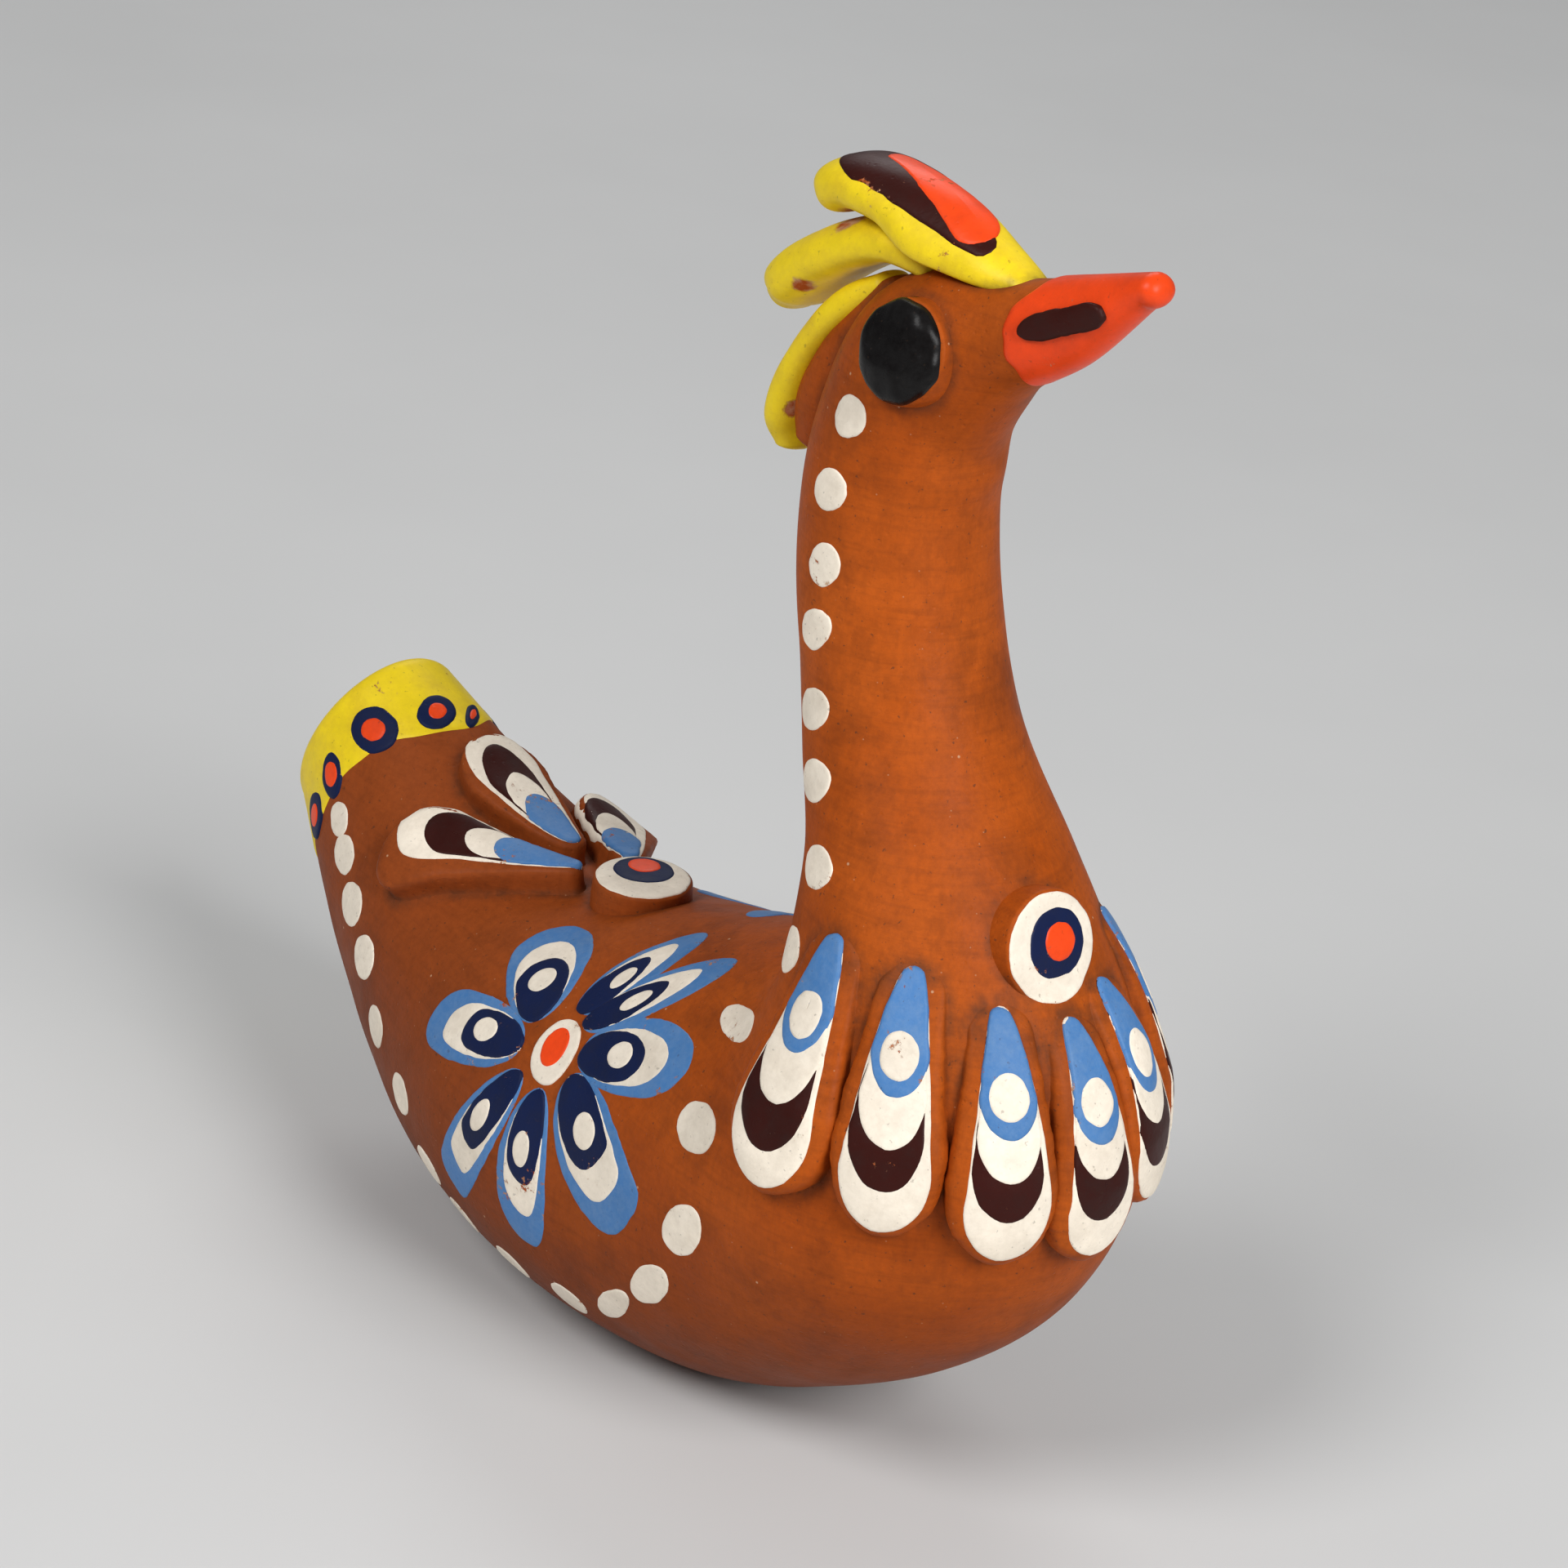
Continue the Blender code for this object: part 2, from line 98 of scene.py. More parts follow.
# Hollows, in mm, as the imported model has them
WALL = 3.2
CHAMBER_FIRST = 1.3
CHAMBER_LAST = 11.4
CHAMBER_SEGMENTS = 48
CHAMBER_RINGS = 40
CHAMBER_END_ROUND = 0.45
WINDWAY_WIDTH = 7.6
WINDOW_WIDTH = 8.4
LIP_WIDTH = 9.0
WINDWAY_HEIGHT = 1.5
WINDWAY_FLOOR = 2.3
WINDWAY_LENGTH = 14.6
WINDOW_LENGTH = 5.0
WINDOW_DEPTH = 6.5
LIP_RAMP_LENGTH = 7.5
LIP_THICKNESS = 0.9
CUT_OVERRUN = 3.0
FLAT_CUT_SIZE = 80.0

# Raised feathers round the chest: degrees about an upright axis in the chest at the top and
# at the tip; then, in mm, the heights of the top and of the tip, and the half width
CHEST_AXIS_X = 23.5
FEATHERS = (
    (-87.5, -80.5, 54.2, 33.2, 4.8),
    (-54.0, -51.0, 53.9, 32.7, 4.6),
    (-24.5, -23.0, 51.7, 31.3, 4.3),
    (-1.5, 0.5, 50.4, 30.4, 4.3),
    (18.5, 21.5, 51.9, 33.0, 4.4),
    (51.0, 52.5, 54.6, 32.8, 4.6),
    (86.5, 80.5, 54.2, 33.2, 4.8),
)
FEATHER_TOP_REACH = 13.5
FEATHER_TIP_REACH = 20.5
FEATHER_RISE = 2.5
FEATHER_ROOT_RISE = 0.03
FEATHER_FULL_RISE_AT = 0.66

# Raised petals on the back: degrees about the back disc; then, in mm, how far the inner end
# lies from the middle of the disc, the length and the half width
PETALS = (
    (-24.5, 6.1, 19.9, 3.3),
    (0.0, 9.8, 17.0, 3.9),
    (27.5, 5.4, 16.6, 3.9),
)
PETAL_RISE = 2.5

# How a drop grows from its narrow start: width there, where it is widest, how fast it widens;
# the first two as shares of the full width and length
CLAY_FEATHER_SHAPE = (0.50, 0.66, 0.8)
CLAY_PETAL_SHAPE = (0.24, 0.76, 0.75)
PAINT_FEATHER_SHAPE = (0.13, 0.74, 0.6)
PAINT_PETAL_SHAPE = (0.16, 0.76, 0.7)
# Lengths of a drop's round end and of its blunt start, as shares of its half width there
END_ROUNDNESS = 1.3
START_BLUNTNESS = 0.8
# Points down each side of a drop, and rounds that settle where its round end begins
DROP_LEVELS = 160
END_ROUNDS = 12
FIRST_END_GUESS = 0.7

# How a raised tongue of clay rises from the skin: mm inside its outline, share of its rise
FEATHER_PROFILE = (
    (-0.30, -0.16), (-0.14, -0.03), (-0.07, 0.10), (-0.02, 0.30), (0.05, 0.50), (0.18, 0.68),
    (0.42, 0.83), (0.80, 0.93), (1.35, 0.985), (2.10, 1.00), (3.00, 1.02),
)
PETAL_PROFILE = (
    (-0.50, -0.14), (-0.28, -0.03), (-0.14, 0.08), (-0.06, 0.28), (-0.03, 0.54), (0.0, 0.78),
    (0.10, 0.91), (0.30, 0.98), (0.80, 1.01), (1.60, 1.03),
)

# Discs
BACK_DISC_X = -16.6
BACK_DISC_TOP_Z = 38.9
BACK_DISC_RADIUS = 4.6
CHEST_DISC_Y = -0.4
CHEST_DISC_Z = 55.2
CHEST_DISC_RADIUS = 4.8
CHEST_DISC_TILT = 18.0
CHEST_DISC_RISE = 0.8
DISC_DEPTH = 4.6
DISC_EDGE_ROUND = 0.35
DISC_DOME = 0.15
DISC_WOBBLE = 0.012
DISC_SEGMENTS = 96

# Eyes
EYE_X = 17.5
EYE_Z = 101.2
EYE_BOSS_X = 17.5
EYE_BOSS_Z = 101.15
EYE_BOSS_RADIUS = 4.3
EYE_BOSS_RISE = 0.6
EYE_BOSS_WOBBLE = 0.04
EYE_RADIUS = 4.15
EYE_RISE = 1.9
EYE_DEPTH = 4.0
EYE_WOBBLE = 0.06
# How far the hand pushed the eyes in and out, and over what length
EYE_WAVE = 0.34
EYE_WAVE_LENGTH = 3.2
EYE_RINGS = 18
EYE_SEGMENTS = 128

# Crest tongues on the middle plane, in mm: x, z, half width, half thickness, and how far
# the two sides hang down towards the head
CREST_FRONT = [
    (24.6, 107.5, 1.7, 0.9, 0.2),
    (20.0, 108.9, 3.3, 1.5, 1.4),
    (14.6, 110.4, 4.2, 1.9, 2.4),
    (9.4, 111.0, 4.3, 2.1, 1.1),
    (4.6, 110.8, 4.2, 2.2, 0.4),
    (1.8, 109.7, 3.8, 2.2, 0.2),
    (0.3, 108.9, 2.4, 1.4, 0.0),
]
CREST_MIDDLE = [
    (13.8, 106.7, 2.5, 1.3, 0.5),
    (9.6, 107.3, 3.6, 1.8, 0.5),
    (5.2, 105.9, 4.1, 2.1, 0.3),
    (0.8, 103.3, 4.2, 2.3, 0.2),
    (-2.8, 100.3, 3.9, 2.4, 0.0),
    (-4.1, 98.8, 2.6, 1.7, 0.0),
]
CREST_BACK = [
    (8.0, 103.0, 2.0, 1.2, 0.0),
    (5.2, 100.8, 3.3, 1.5, 0.0),
    (2.2, 97.2, 3.9, 1.6, 0.0),
    (-0.1, 93.0, 4.0, 1.8, 0.0),
    (-1.2, 89.2, 3.8, 1.9, 0.0),
    (-1.0, 86.7, 2.6, 1.4, 0.0),
]
CREST_WEB = [
    (9.5, 102.4, 2.6, 2.0, 0.0),
    (6.0, 97.4, 3.6, 2.4, 0.0),
    (3.0, 91.9, 3.8, 2.7, 0.0),
    (2.0, 88.0, 2.8, 2.0, 0.0),
]
CREST_RINGS_PER_POINT = 10
CREST_SEGMENTS = 56
CREST_SQUARENESS = 0.8
CREST_CAP_RINGS = 7
# Lengths of the rounded first and last ends, as shares of the half thickness there
CREST_FIRST_CAP = 0.8
CREST_LAST_CAP = 0.5
CREST_WAVE_LENGTH = 6.0
CREST_WAVE = 0.15
CREST_WEB_WAVE = 0.2

# Paint, in mm: how far each layer stands off the clay, from the first brushed on to the last
LAYER_LIFTS = (0.10, 0.16, 0.22, 0.28, 0.34)
PAINT_OUTLINE_POINTS = 72
RELIEF_OUTLINE_POINTS = 160
PAINT_EDGE = ((0.0, -0.6), (0.04, 0.35), (0.14, 0.85), (0.32, 1.0))
PAINT_INNER_SHARES = (0.78, 0.55, 0.30, 0.0)
# How far a drawing board stands off the clay, and how far a ray from it may go, in mm
BOARD_REACH = 14.0
RAY_LENGTH = 24.0
FEATHER_BOARD_REACH = 30.0
OUTSIDE = 120.0
SPINE_LEVELS = 60

# How far from a joint between two pieces dirt and painted shade darken the pieces, in mm
CREASE_REACH = 0.8
# Keeps rays off the seams between faces, which they would slip through
OFF_SEAM = Vector((0.0011, 0.0013, 0.0007))
# Edges of the hollows that turn by more than this are sharp, in degrees
SHARP_ANGLE = 40.0
# Points nearer than this are one, in metres
SAME_POINT = 1e-7
SAME_PAINT_POINT = 2e-6


def smooth_rows(rows, places):
    """Rows of values at fractional places along a list of rows, on a Catmull-Rom curve."""
    rows = np.array(rows, float)
    last = len(rows) - 1
    padded = np.vstack((2 * rows[0] - rows[1], rows, 2 * rows[last] - rows[last - 1]))
    places = np.asarray(places, float)
    first = np.clip(places.astype(int), 0, last - 1)
    part = (places - first)[:, None]
    p0, p1, p2, p3 = (padded[first + shift] for shift in range(4))
    bend = (2 * p0 - 5 * p1 + 4 * p2 - p3) * part ** 2 + (-p0 + 3 * p1 - 3 * p2 + p3) * part ** 3
    return 0.5 * (2 * p1 + (p2 - p0) * part + bend)


def body_grid(places, angles, inset=0.0, push=0.0, shrink=0.0):
    """Points on the body's oval sections: one row for each place, one column for each angle."""
    rows = smooth_rows(BODY_SECTIONS, places)
    back, belly, half_width = rows[:, 0:2], rows[:, 2:4], rows[:, 4]
    centre = (back + belly) / 2
    upward = (back - belly) / 2
    half_height = np.linalg.norm(upward, axis=1)
    upward = upward / half_height[:, None]
    along = np.stack((upward[:, 1], -upward[:, 0]), axis=1)
    less = np.broadcast_to(inset + shrink, half_height.shape)
    push = np.broadcast_to(push, half_height.shape)
    high = np.cos(angles)[None, :] * (half_height - less)[:, None]
    wide = np.sin(angles)[None, :] * (half_width - less)[:, None]
    x = centre[:, 0:1] + along[:, 0:1] * push[:, None] + upward[:, 0:1] * high
    z = centre[:, 1:2] + along[:, 1:2] * push[:, None] + upward[:, 1:2] * high
    return np.stack((x, wide, z), axis=2)


def round_angles(count):
    return np.arange(count) * 2 * math.pi / count


def rounded_end(place, angles, radius, direction, inset=0.0):
    """Rows that round the rim of the body's end, from the full section outward."""
    turns = np.arange(1, END_RINGS + 1) * math.pi / 2 / END_RINGS
    places = np.full(END_RINGS, float(place))
    push = direction * radius * np.sin(turns)
    return body_grid(places, angles, inset, push, radius * (1 - np.cos(turns)))


def whole_body_grid(inset=0.0):
    angles = round_angles(BODY_SEGMENTS)
    places = np.linspace(0, LAST_SECTION, LAST_SECTION * RINGS_PER_SECTION + 1)
    tail = rounded_end(0, angles, TAIL_END_ROUND, -1, inset)[::-1]
    beak = rounded_end(LAST_SECTION, angles, BEAK_END_ROUND, 1, inset)
    return np.concatenate((tail, body_grid(places, angles, inset), beak))


def grid_mesh(name, grid, capped=True):
    """A mesh through rows of points in mm, closed round each row and capped at both ends."""
    rows, columns = grid.shape[:2]
    points = [tuple(point) for point in (grid.reshape(-1, 3) * MM)]
    faces = []
    for row in range(rows - 1):
        for column in range(columns):
            near = row * columns + column
            beside = row * columns + (column + 1) % columns
            faces.append((near, beside, beside + columns, near + columns))
    if capped:
        for row in (0, rows - 1):
            middle = len(points)
            points.append(tuple(grid[row].mean(axis=0) * MM))
            for column in range(columns):
                first = row * columns + column
                following = row * columns + (column + 1) % columns
                faces.append((first, following, middle))
    mesh = bpy.data.meshes.new(name)
    mesh.from_pydata(points, [], faces)
    tidy_mesh(mesh)
    return mesh


def tidy_mesh(mesh):
    """Merges doubles, turns the faces outward and shades the mesh smooth."""
    shape = bmesh.new()
    shape.from_mesh(mesh)
    bmesh.ops.remove_doubles(shape, verts=shape.verts, dist=SAME_POINT)
    bmesh.ops.recalc_face_normals(shape, faces=shape.faces)
    shape.to_mesh(mesh)
    shape.free()
    mesh.shade_smooth()
    mesh.update()


def make_object(name, mesh):
    obj = bpy.data.objects.new(name, mesh)
    bpy.context.scene.collection.objects.link(obj)
    return obj


def join_meshes(name, meshes):
    """One mesh that holds all the meshes given."""
    shape = bmesh.new()
    for mesh in meshes:
        shape.from_mesh(mesh)
    joined = bpy.data.meshes.new(name)
    shape.to_mesh(joined)
    shape.free()
    joined.shade_smooth()
    return joined


def wave_by_hand(mesh, amount, length, seed):
    """Moves the skin in and out a little, as hand-smoothed clay does; sizes in mm."""
    offset = Vector((seed * 17.3, seed * 5.1, seed * 9.7))
    normals = [vertex.normal.copy() for vertex in mesh.vertices]
    for vertex, normal in zip(mesh.vertices, normals):
        place = vertex.co / MM / length + offset
        wave = noise.noise(place) + 0.4 * noise.noise(place * 2.3)
        vertex.co += normal * (wave * amount * MM)
    mesh.update()


def mark_creases(mesh, others, reach):
    """Marks each point by how near another piece comes: 1 where they touch, 0 from reach mm on."""
    shape = bmesh.new()
    for other in others:
        shape.from_mesh(other)
    tree = BVHTree.FromBMesh(shape)
    shape.free()
    marks = []
    for vertex in mesh.vertices:
        _, _, _, apart = tree.find_nearest(vertex.co, reach * MM)
        marks.append(0.0 if apart is None else 1 - apart / (reach * MM))
    crease = mesh.attributes.new("crease", "FLOAT", "POINT")
    crease.data.foreach_set("value", np.array(marks, np.float32))


class Skin:
    """A clay surface, asked for the point that lies under a place; all in mm."""

    def __init__(self, meshes):
        shape = bmesh.new()
        for mesh in meshes:
            shape.from_mesh(mesh)
        self.tree = BVHTree.FromBMesh(shape)
        shape.free()

    def under(self, start, direction):
        place, normal, _, _ = self.tree.ray_cast(start * MM, direction.normalized())
        if place is None:
            return None, None
        if normal.dot(direction) > 0:
            normal = -normal
        return place / MM, normal

    def nearest(self, place):
        point, normal, _, _ = self.tree.find_nearest(place * MM)
        return point / MM, normal


class Chart:
    """A flat drawing board in front of the clay, with u across it and v ahead, in mm."""

    def __init__(self, origin, side, ahead, outward, reach=BOARD_REACH):
        self.origin = origin
        self.side = side
        self.ahead = ahead
        self.outward = outward
        self.reach = reach

    def start(self, u, v):
        return self.origin + self.side * u + self.ahead * v + self.outward * self.reach + OFF_SEAM

    def read(self, point):
        """The (u, v) of a point, seen square on."""
        offset = point - self.origin
        return offset.dot(self.side), offset.dot(self.ahead)

    def mirrored(self):
        flip = Vector((1.0, -1.0, 1.0))
        flipped = (axis * flip for axis in (self.origin, self.side, self.ahead, self.outward))
        return Chart(*flipped, self.reach)


def camera_matrix():
    turn = Matrix.Rotation(math.radians(CAMERA_AZIMUTH), 4, "Z")
    turn = turn @ Matrix.Rotation(math.radians(90 - CAMERA_ELEVATION), 4, "X")
    turn = turn @ Matrix.Rotation(math.radians(CAMERA_ROLL), 4, "Z")
    return Matrix.Translation(CAMERA_PLACE * MM) @ turn


def photo_direction(pixel):
    """The direction, from the camera, of a pixel of the 1920 x 1920 photo."""
    across = (pixel[0] / PHOTO_SIZE - 0.5) * SENSOR_WIDTH / CAMERA_LENS
    up = (0.5 - pixel[1] / PHOTO_SIZE) * SENSOR_WIDTH / CAMERA_LENS
    return (camera_matrix().to_3x3() @ Vector((across, up, -1.0))).normalized()


def on_clay(skin, pixel):
    """The place on the clay that a pixel of the photo shows, with its outward normal."""
    return skin.under(CAMERA_PLACE, photo_direction(pixel))


def make_camera():
    data = bpy.data.cameras.new("studio_camera")
    data.sensor_fit = "HORIZONTAL"
    data.sensor_width = SENSOR_WIDTH
    data.lens = CAMERA_LENS
    data.clip_start = 0.01
    data.clip_end = 20.0
    camera = make_object("studio_camera", data)
    camera.matrix_world = camera_matrix()
    bpy.context.scene.camera = camera


# Outlines on a chart are closed rows of (u, v) in mm


def drop_outline(length, left, right):
    """A drop from (0, 0) to (0, length) through its two widest places (u, v)."""
    turns = np.linspace(0, math.pi / 2, PAINT_OUTLINE_POINTS // 4, endpoint=False)
    outline = []
    (left_u, left_v), (right_u, right_v) = left, right
    for turn in turns:
        outline.append((right_u * math.sin(turn), right_v * (1 - math.cos(turn))))
    for turn in turns:
        outline.append((right_u * math.cos(turn), right_v + (length - right_v) * math.sin(turn)))
    for turn in turns:
        outline.append((left_u * math.sin(turn), left_v + (length - left_v) * math.cos(turn)))
    for turn in turns:
        outline.append((left_u * math.cos(turn), left_v * (1 - math.sin(turn))))
    return even_outline(np.array(outline), PAINT_OUTLINE_POINTS)


def ellipse_outline(centre, half_u, half_v, count=PAINT_OUTLINE_POINTS):
    angles = round_angles(count)
    return np.stack((centre[0] + half_u * np.cos(angles), centre[1] + half_v * np.sin(angles)), axis=1)


def even_outline(outline, count):
    """The same closed outline with its points evenly spaced."""
    closed = np.vstack((outline, outline[:1]))
    steps = np.linalg.norm(np.diff(closed, axis=0), axis=1)
    travelled = np.concatenate(([0.0], np.cumsum(steps)))
    wanted = np.linspace(0, travelled[-1], count, endpoint=False)
    return np.stack([np.interp(wanted, travelled, closed[:, axis]) for axis in (0, 1)], axis=1)


def unsteady(outline, amount, seed):
    """The outline as a brush draws it, in and out by a small amount in mm."""
    centre = outline.mean(axis=0)
    result = []
    for point in outline:
        offset = point - centre
        reach = np.linalg.norm(offset)
        sway = noise.noise(Vector((point[0] * 0.55, point[1] * 0.55, seed * 7.7)))
        sway += 0.5 * noise.noise(Vector((point[0] * 1.7, point[1] * 1.7, seed * 3.1)))
        result.append(point + offset / reach * sway * amount)
    return np.array(result)


def spine_of(outline):
    """For each outline point, the place on the middle line that it closes in to."""
    low, high = outline[:, 1].min(), outline[:, 1].max()
    levels = np.linspace(low, high, SPINE_LEVELS + 2)[1:-1]
    following = np.roll(outline, -1, axis=0)
    middles, halves = [], []
    for level in levels:
        above = outline[:, 1] > level
        crossing = above != np.roll(above, -1)
        start, end = outline[crossing], following[crossing]
        share = (level - start[:, 1]) / (end[:, 1] - start[:, 1])
        u = start[:, 0] + (end[:, 0] - start[:, 0]) * share
        middles.append((u.max() + u.min()) / 2)
        halves.append((u.max() - u.min()) / 2)
    first = levels[levels - low >= halves][0]
    last = levels[high - levels >= halves][-1]
    if last < first:
        first = last = (first + last) / 2
    v = np.clip(outline[:, 1], first, last)
    return np.stack((np.interp(v, levels, middles), v), axis=1)


def growing_width(share, shape):
    """Width of a drop, 0 to 1, at a share of its length, before it closes round."""
    start, widest_at, power = shape
    return start + (1 - start) * np.clip(share / widest_at, 0, 1) ** power


def growing_drop(length, half_width, shape, reach=1.0, sides=(1.0, 1.0), count=PAINT_OUTLINE_POINTS):
    """A drop that widens from (0, 0) and closes round at a share, reach, of its full length."""
    end = length * reach
    turn = end * FIRST_END_GUESS
    for _ in range(END_ROUNDS):
        turn = end - END_ROUNDNESS * half_width * growing_width(turn / length, shape)
    v = end * (1 - np.cos(np.linspace(0, math.pi, DROP_LEVELS))) / 2
    half = half_width * growing_width(np.minimum(v, turn) / length, shape)
    half *= np.sqrt(np.clip(1 - (np.clip(v - turn, 0, None) / (end - turn)) ** 2, 0, 1))
    blunt = half_width * shape[0] * START_BLUNTNESS
    half *= np.sqrt(np.clip(1 - (1 - np.clip(v / blunt, 0, 1)) ** 2, 0, 1))
    left = np.stack((-half * sides[0], v), axis=1)
    right = np.stack((half * sides[1], v), axis=1)
    return even_outline(np.vstack((right, left[::-1])), count)


def relief_rows(skin, chart, outline, profile, rise_at):
    """Rows of points of a raised tongue, from its sunk foot to the middle line of its top."""
    spine = spine_of(outline)
    offset = spine - outline
    depth = np.linalg.norm(offset, axis=1)
    inward = offset / depth[:, None]
    rows = []
    for inside, share in profile:
        reach = np.minimum(inside, depth * 0.96)
        rows.append((outline + inward * reach[:, None], share))
    rows.append((spine, profile[-1][1]))
    grid = []
    for places, share in rows:
        row = []
        for u, v in places:
            foot, normal = skin.under(chart.start(u, v), -chart.outward)
            row.append(foot + normal * (share * rise_at(v)))
        grid.append(row)
    return np.array([[tuple(point) for point in row] for row in grid])


def relief_mesh(name, skin, chart, outline, profile, rise_at):
    return grid_mesh(name, relief_rows(skin, chart, outline, profile, rise_at), capped=False)


def feather_chart(feather):
    """The board of a chest feather, with its top at v = 0, and its length."""
    top_angle, tip_angle, top, tip, _ = feather
    turn = math.radians((top_angle + tip_angle) / 2)
    lean = math.sin(math.radians(tip_angle - top_angle) / 2)
    outward = Vector((math.cos(turn), math.sin(turn), 0.0))
    across = Vector((-outward.y, outward.x, 0.0))
    start = Vector((CHEST_AXIS_X, 0.0, top)) - across * (FEATHER_TOP_REACH * lean)
    end = Vector((CHEST_AXIS_X, 0.0, tip)) + across * (FEATHER_TIP_REACH * lean)
    ahead = (end - start).normalized()
    return Chart(start, outward.cross(ahead), ahead, outward, FEATHER_BOARD_REACH), (end - start).length


def make_feathers(skin):
    meshes = []
    for number, feather in enumerate(FEATHERS):
        chart, length = feather_chart(feather)
        outline = growing_drop(length, feather[4], CLAY_FEATHER_SHAPE, count=RELIEF_OUTLINE_POINTS)
        outline = unsteady(outline, 0.2, number + 1)

        def rise_at(v, length=length):
            share = min(max(v / length / FEATHER_FULL_RISE_AT, 0.0), 1.0)
            return FEATHER_ROOT_RISE + FEATHER_RISE * share

        meshes.append(relief_mesh("feather", skin, chart, outline, FEATHER_PROFILE, rise_at))
    return join_meshes("chest_feathers", meshes)


def petal_chart(petal):
    """The board of a back petal, with its inner end at v = 0."""
    angle, inner_reach = petal[:2]
    turn = math.radians(angle)
    outward = Vector((-math.cos(turn), math.sin(turn), 0.0))
    side = Vector((-outward.y, outward.x, 0.0))
    origin = Vector((BACK_DISC_X, 0.0, BACK_DISC_TOP_Z)) + outward * inner_reach
    return Chart(origin, side, outward, Vector((0.0, 0.0, 1.0)))


def make_back_petals(skin):
    meshes = []
    for number, petal in enumerate(PETALS):
        outline = growing_drop(petal[2], petal[3], CLAY_PETAL_SHAPE, count=RELIEF_OUTLINE_POINTS)
        outline = unsteady(outline, 0.16, number + 11)
        meshes.append(relief_mesh("petal", skin, petal_chart(petal), outline, PETAL_PROFILE,
                                  lambda v: PETAL_RISE))
    return join_meshes("back_petals", meshes)


def turned_rows(profile, segments, wobble, seed):
    """Rows of points about +Z from a profile of (radius, height), slightly out of round."""
    rows = []
    for radius, height in profile:
        row = []
        for angle in round_angles(segments):
            across, up = math.cos(angle), math.sin(angle)
            sway = noise.noise(Vector((across, up, seed * 3.3)))
            lift = noise.noise(Vector((across * radius * 0.4, up * radius * 0.4, seed)))
            reach = radius * (1 + wobble * sway)
            row.append((reach * across, reach * up, height + lift * wobble))
        rows.append(row)
    return np.array(rows)


def place_rows(rows, centre, normal):
    turn = normal.to_track_quat("Z", "Y").to_matrix()
    return rows @ np.array(turn).T + np.array(tuple(centre))


def disc_profile(radius, rise, depth, edge, dome):
    """Half section of a disc: down its wall from a rounded rim, and across its face."""
    profile = [(0.0, rise + dome), (radius * 0.3, rise + dome * 0.9), (radius * 0.6, rise + dome * 0.55)]
    profile.append((radius - edge * 1.6, rise + dome * 0.12))
    for step in range(7):
        turn = math.pi / 2 * step / 6
        profile.append((radius - edge + edge * math.sin(turn), rise - edge + edge * math.cos(turn)))
    profile.append((radius + 0.05, rise - edge - 0.6))
    profile.append((radius + 0.15, rise - depth))
    return profile


def disc_mesh(name, centre, normal, radius, rise, depth, edge, dome, wobble, seed):
    rows = turned_rows(disc_profile(radius, rise, depth, edge, dome), DISC_SEGMENTS, wobble, seed)
    return grid_mesh(name, place_rows(rows, centre, normal), capped=False)


def back_disc_place():
    return Vector((BACK_DISC_X, 0.0, BACK_DISC_TOP_Z)), Vector((0.0, 0.0, 1.0))


def chest_disc_place(skin):
    centre, _ = skin.under(Vector((OUTSIDE, CHEST_DISC_Y, CHEST_DISC_Z)), Vector((-1.0, 0.0, 0.0)))
    tilt = math.radians(CHEST_DISC_TILT)
    return centre, Vector((math.cos(tilt), 0.0, math.sin(tilt)))


def eye_place(skin, side):
    return skin.under(Vector((EYE_X, side * OUTSIDE, EYE_Z)), Vector((0.0, -side, 0.0)))


def make_discs(skin):
    centre, normal = back_disc_place()
    back = disc_mesh("back_disc", centre, normal, BACK_DISC_RADIUS, 0.0, DISC_DEPTH,
                     DISC_EDGE_ROUND, DISC_DOME, DISC_WOBBLE, 2)
    centre, normal = chest_disc_place(skin)
    chest = disc_mesh("chest_disc", centre, normal, CHEST_DISC_RADIUS, CHEST_DISC_RISE, DISC_DEPTH,
                      DISC_EDGE_ROUND, DISC_DOME, DISC_WOBBLE, 5)
    return join_meshes("clay_discs", (back, chest))


def make_eye_bosses(skin):
    meshes = []
    for side in (-1.0, 1.0):
        _, normal = eye_place(skin, side)
        outside = Vector((EYE_BOSS_X, side * OUTSIDE, EYE_BOSS_Z))
        centre, _ = skin.under(outside, Vector((0.0, -side, 0.0)))
        meshes.append(disc_mesh("boss", centre, normal, EYE_BOSS_RADIUS, EYE_BOSS_RISE, EYE_DEPTH,
                                EYE_BOSS_RISE * 0.5, 0.0, EYE_BOSS_WOBBLE, 8 + side))
    return join_meshes("eye_bosses", meshes)


def make_eyes(skin):
    """Glossy lumpy domes, pressed flatter in the middle."""
    meshes = []
    for side in (-1.0, 1.0):
        centre, normal = eye_place(skin, side)
        profile = []
        for step in range(EYE_RINGS + 1):
            turn = math.pi / 2 * step / EYE_RINGS
            profile.append((EYE_RADIUS * math.sin(turn) ** 0.8, EYE_RISE * math.cos(turn) ** 0.6))
        profile.append((EYE_RADIUS + 0.02, -0.6))
        rows = turned_rows(profile, EYE_SEGMENTS, EYE_WOBBLE, 20 + side)
        mesh = grid_mesh("eye", place_rows(rows, centre, normal), capped=False)
        wave_by_hand(mesh, EYE_WAVE, EYE_WAVE_LENGTH, 31 + side)
        meshes.append(mesh)
    return join_meshes("eyes", meshes)


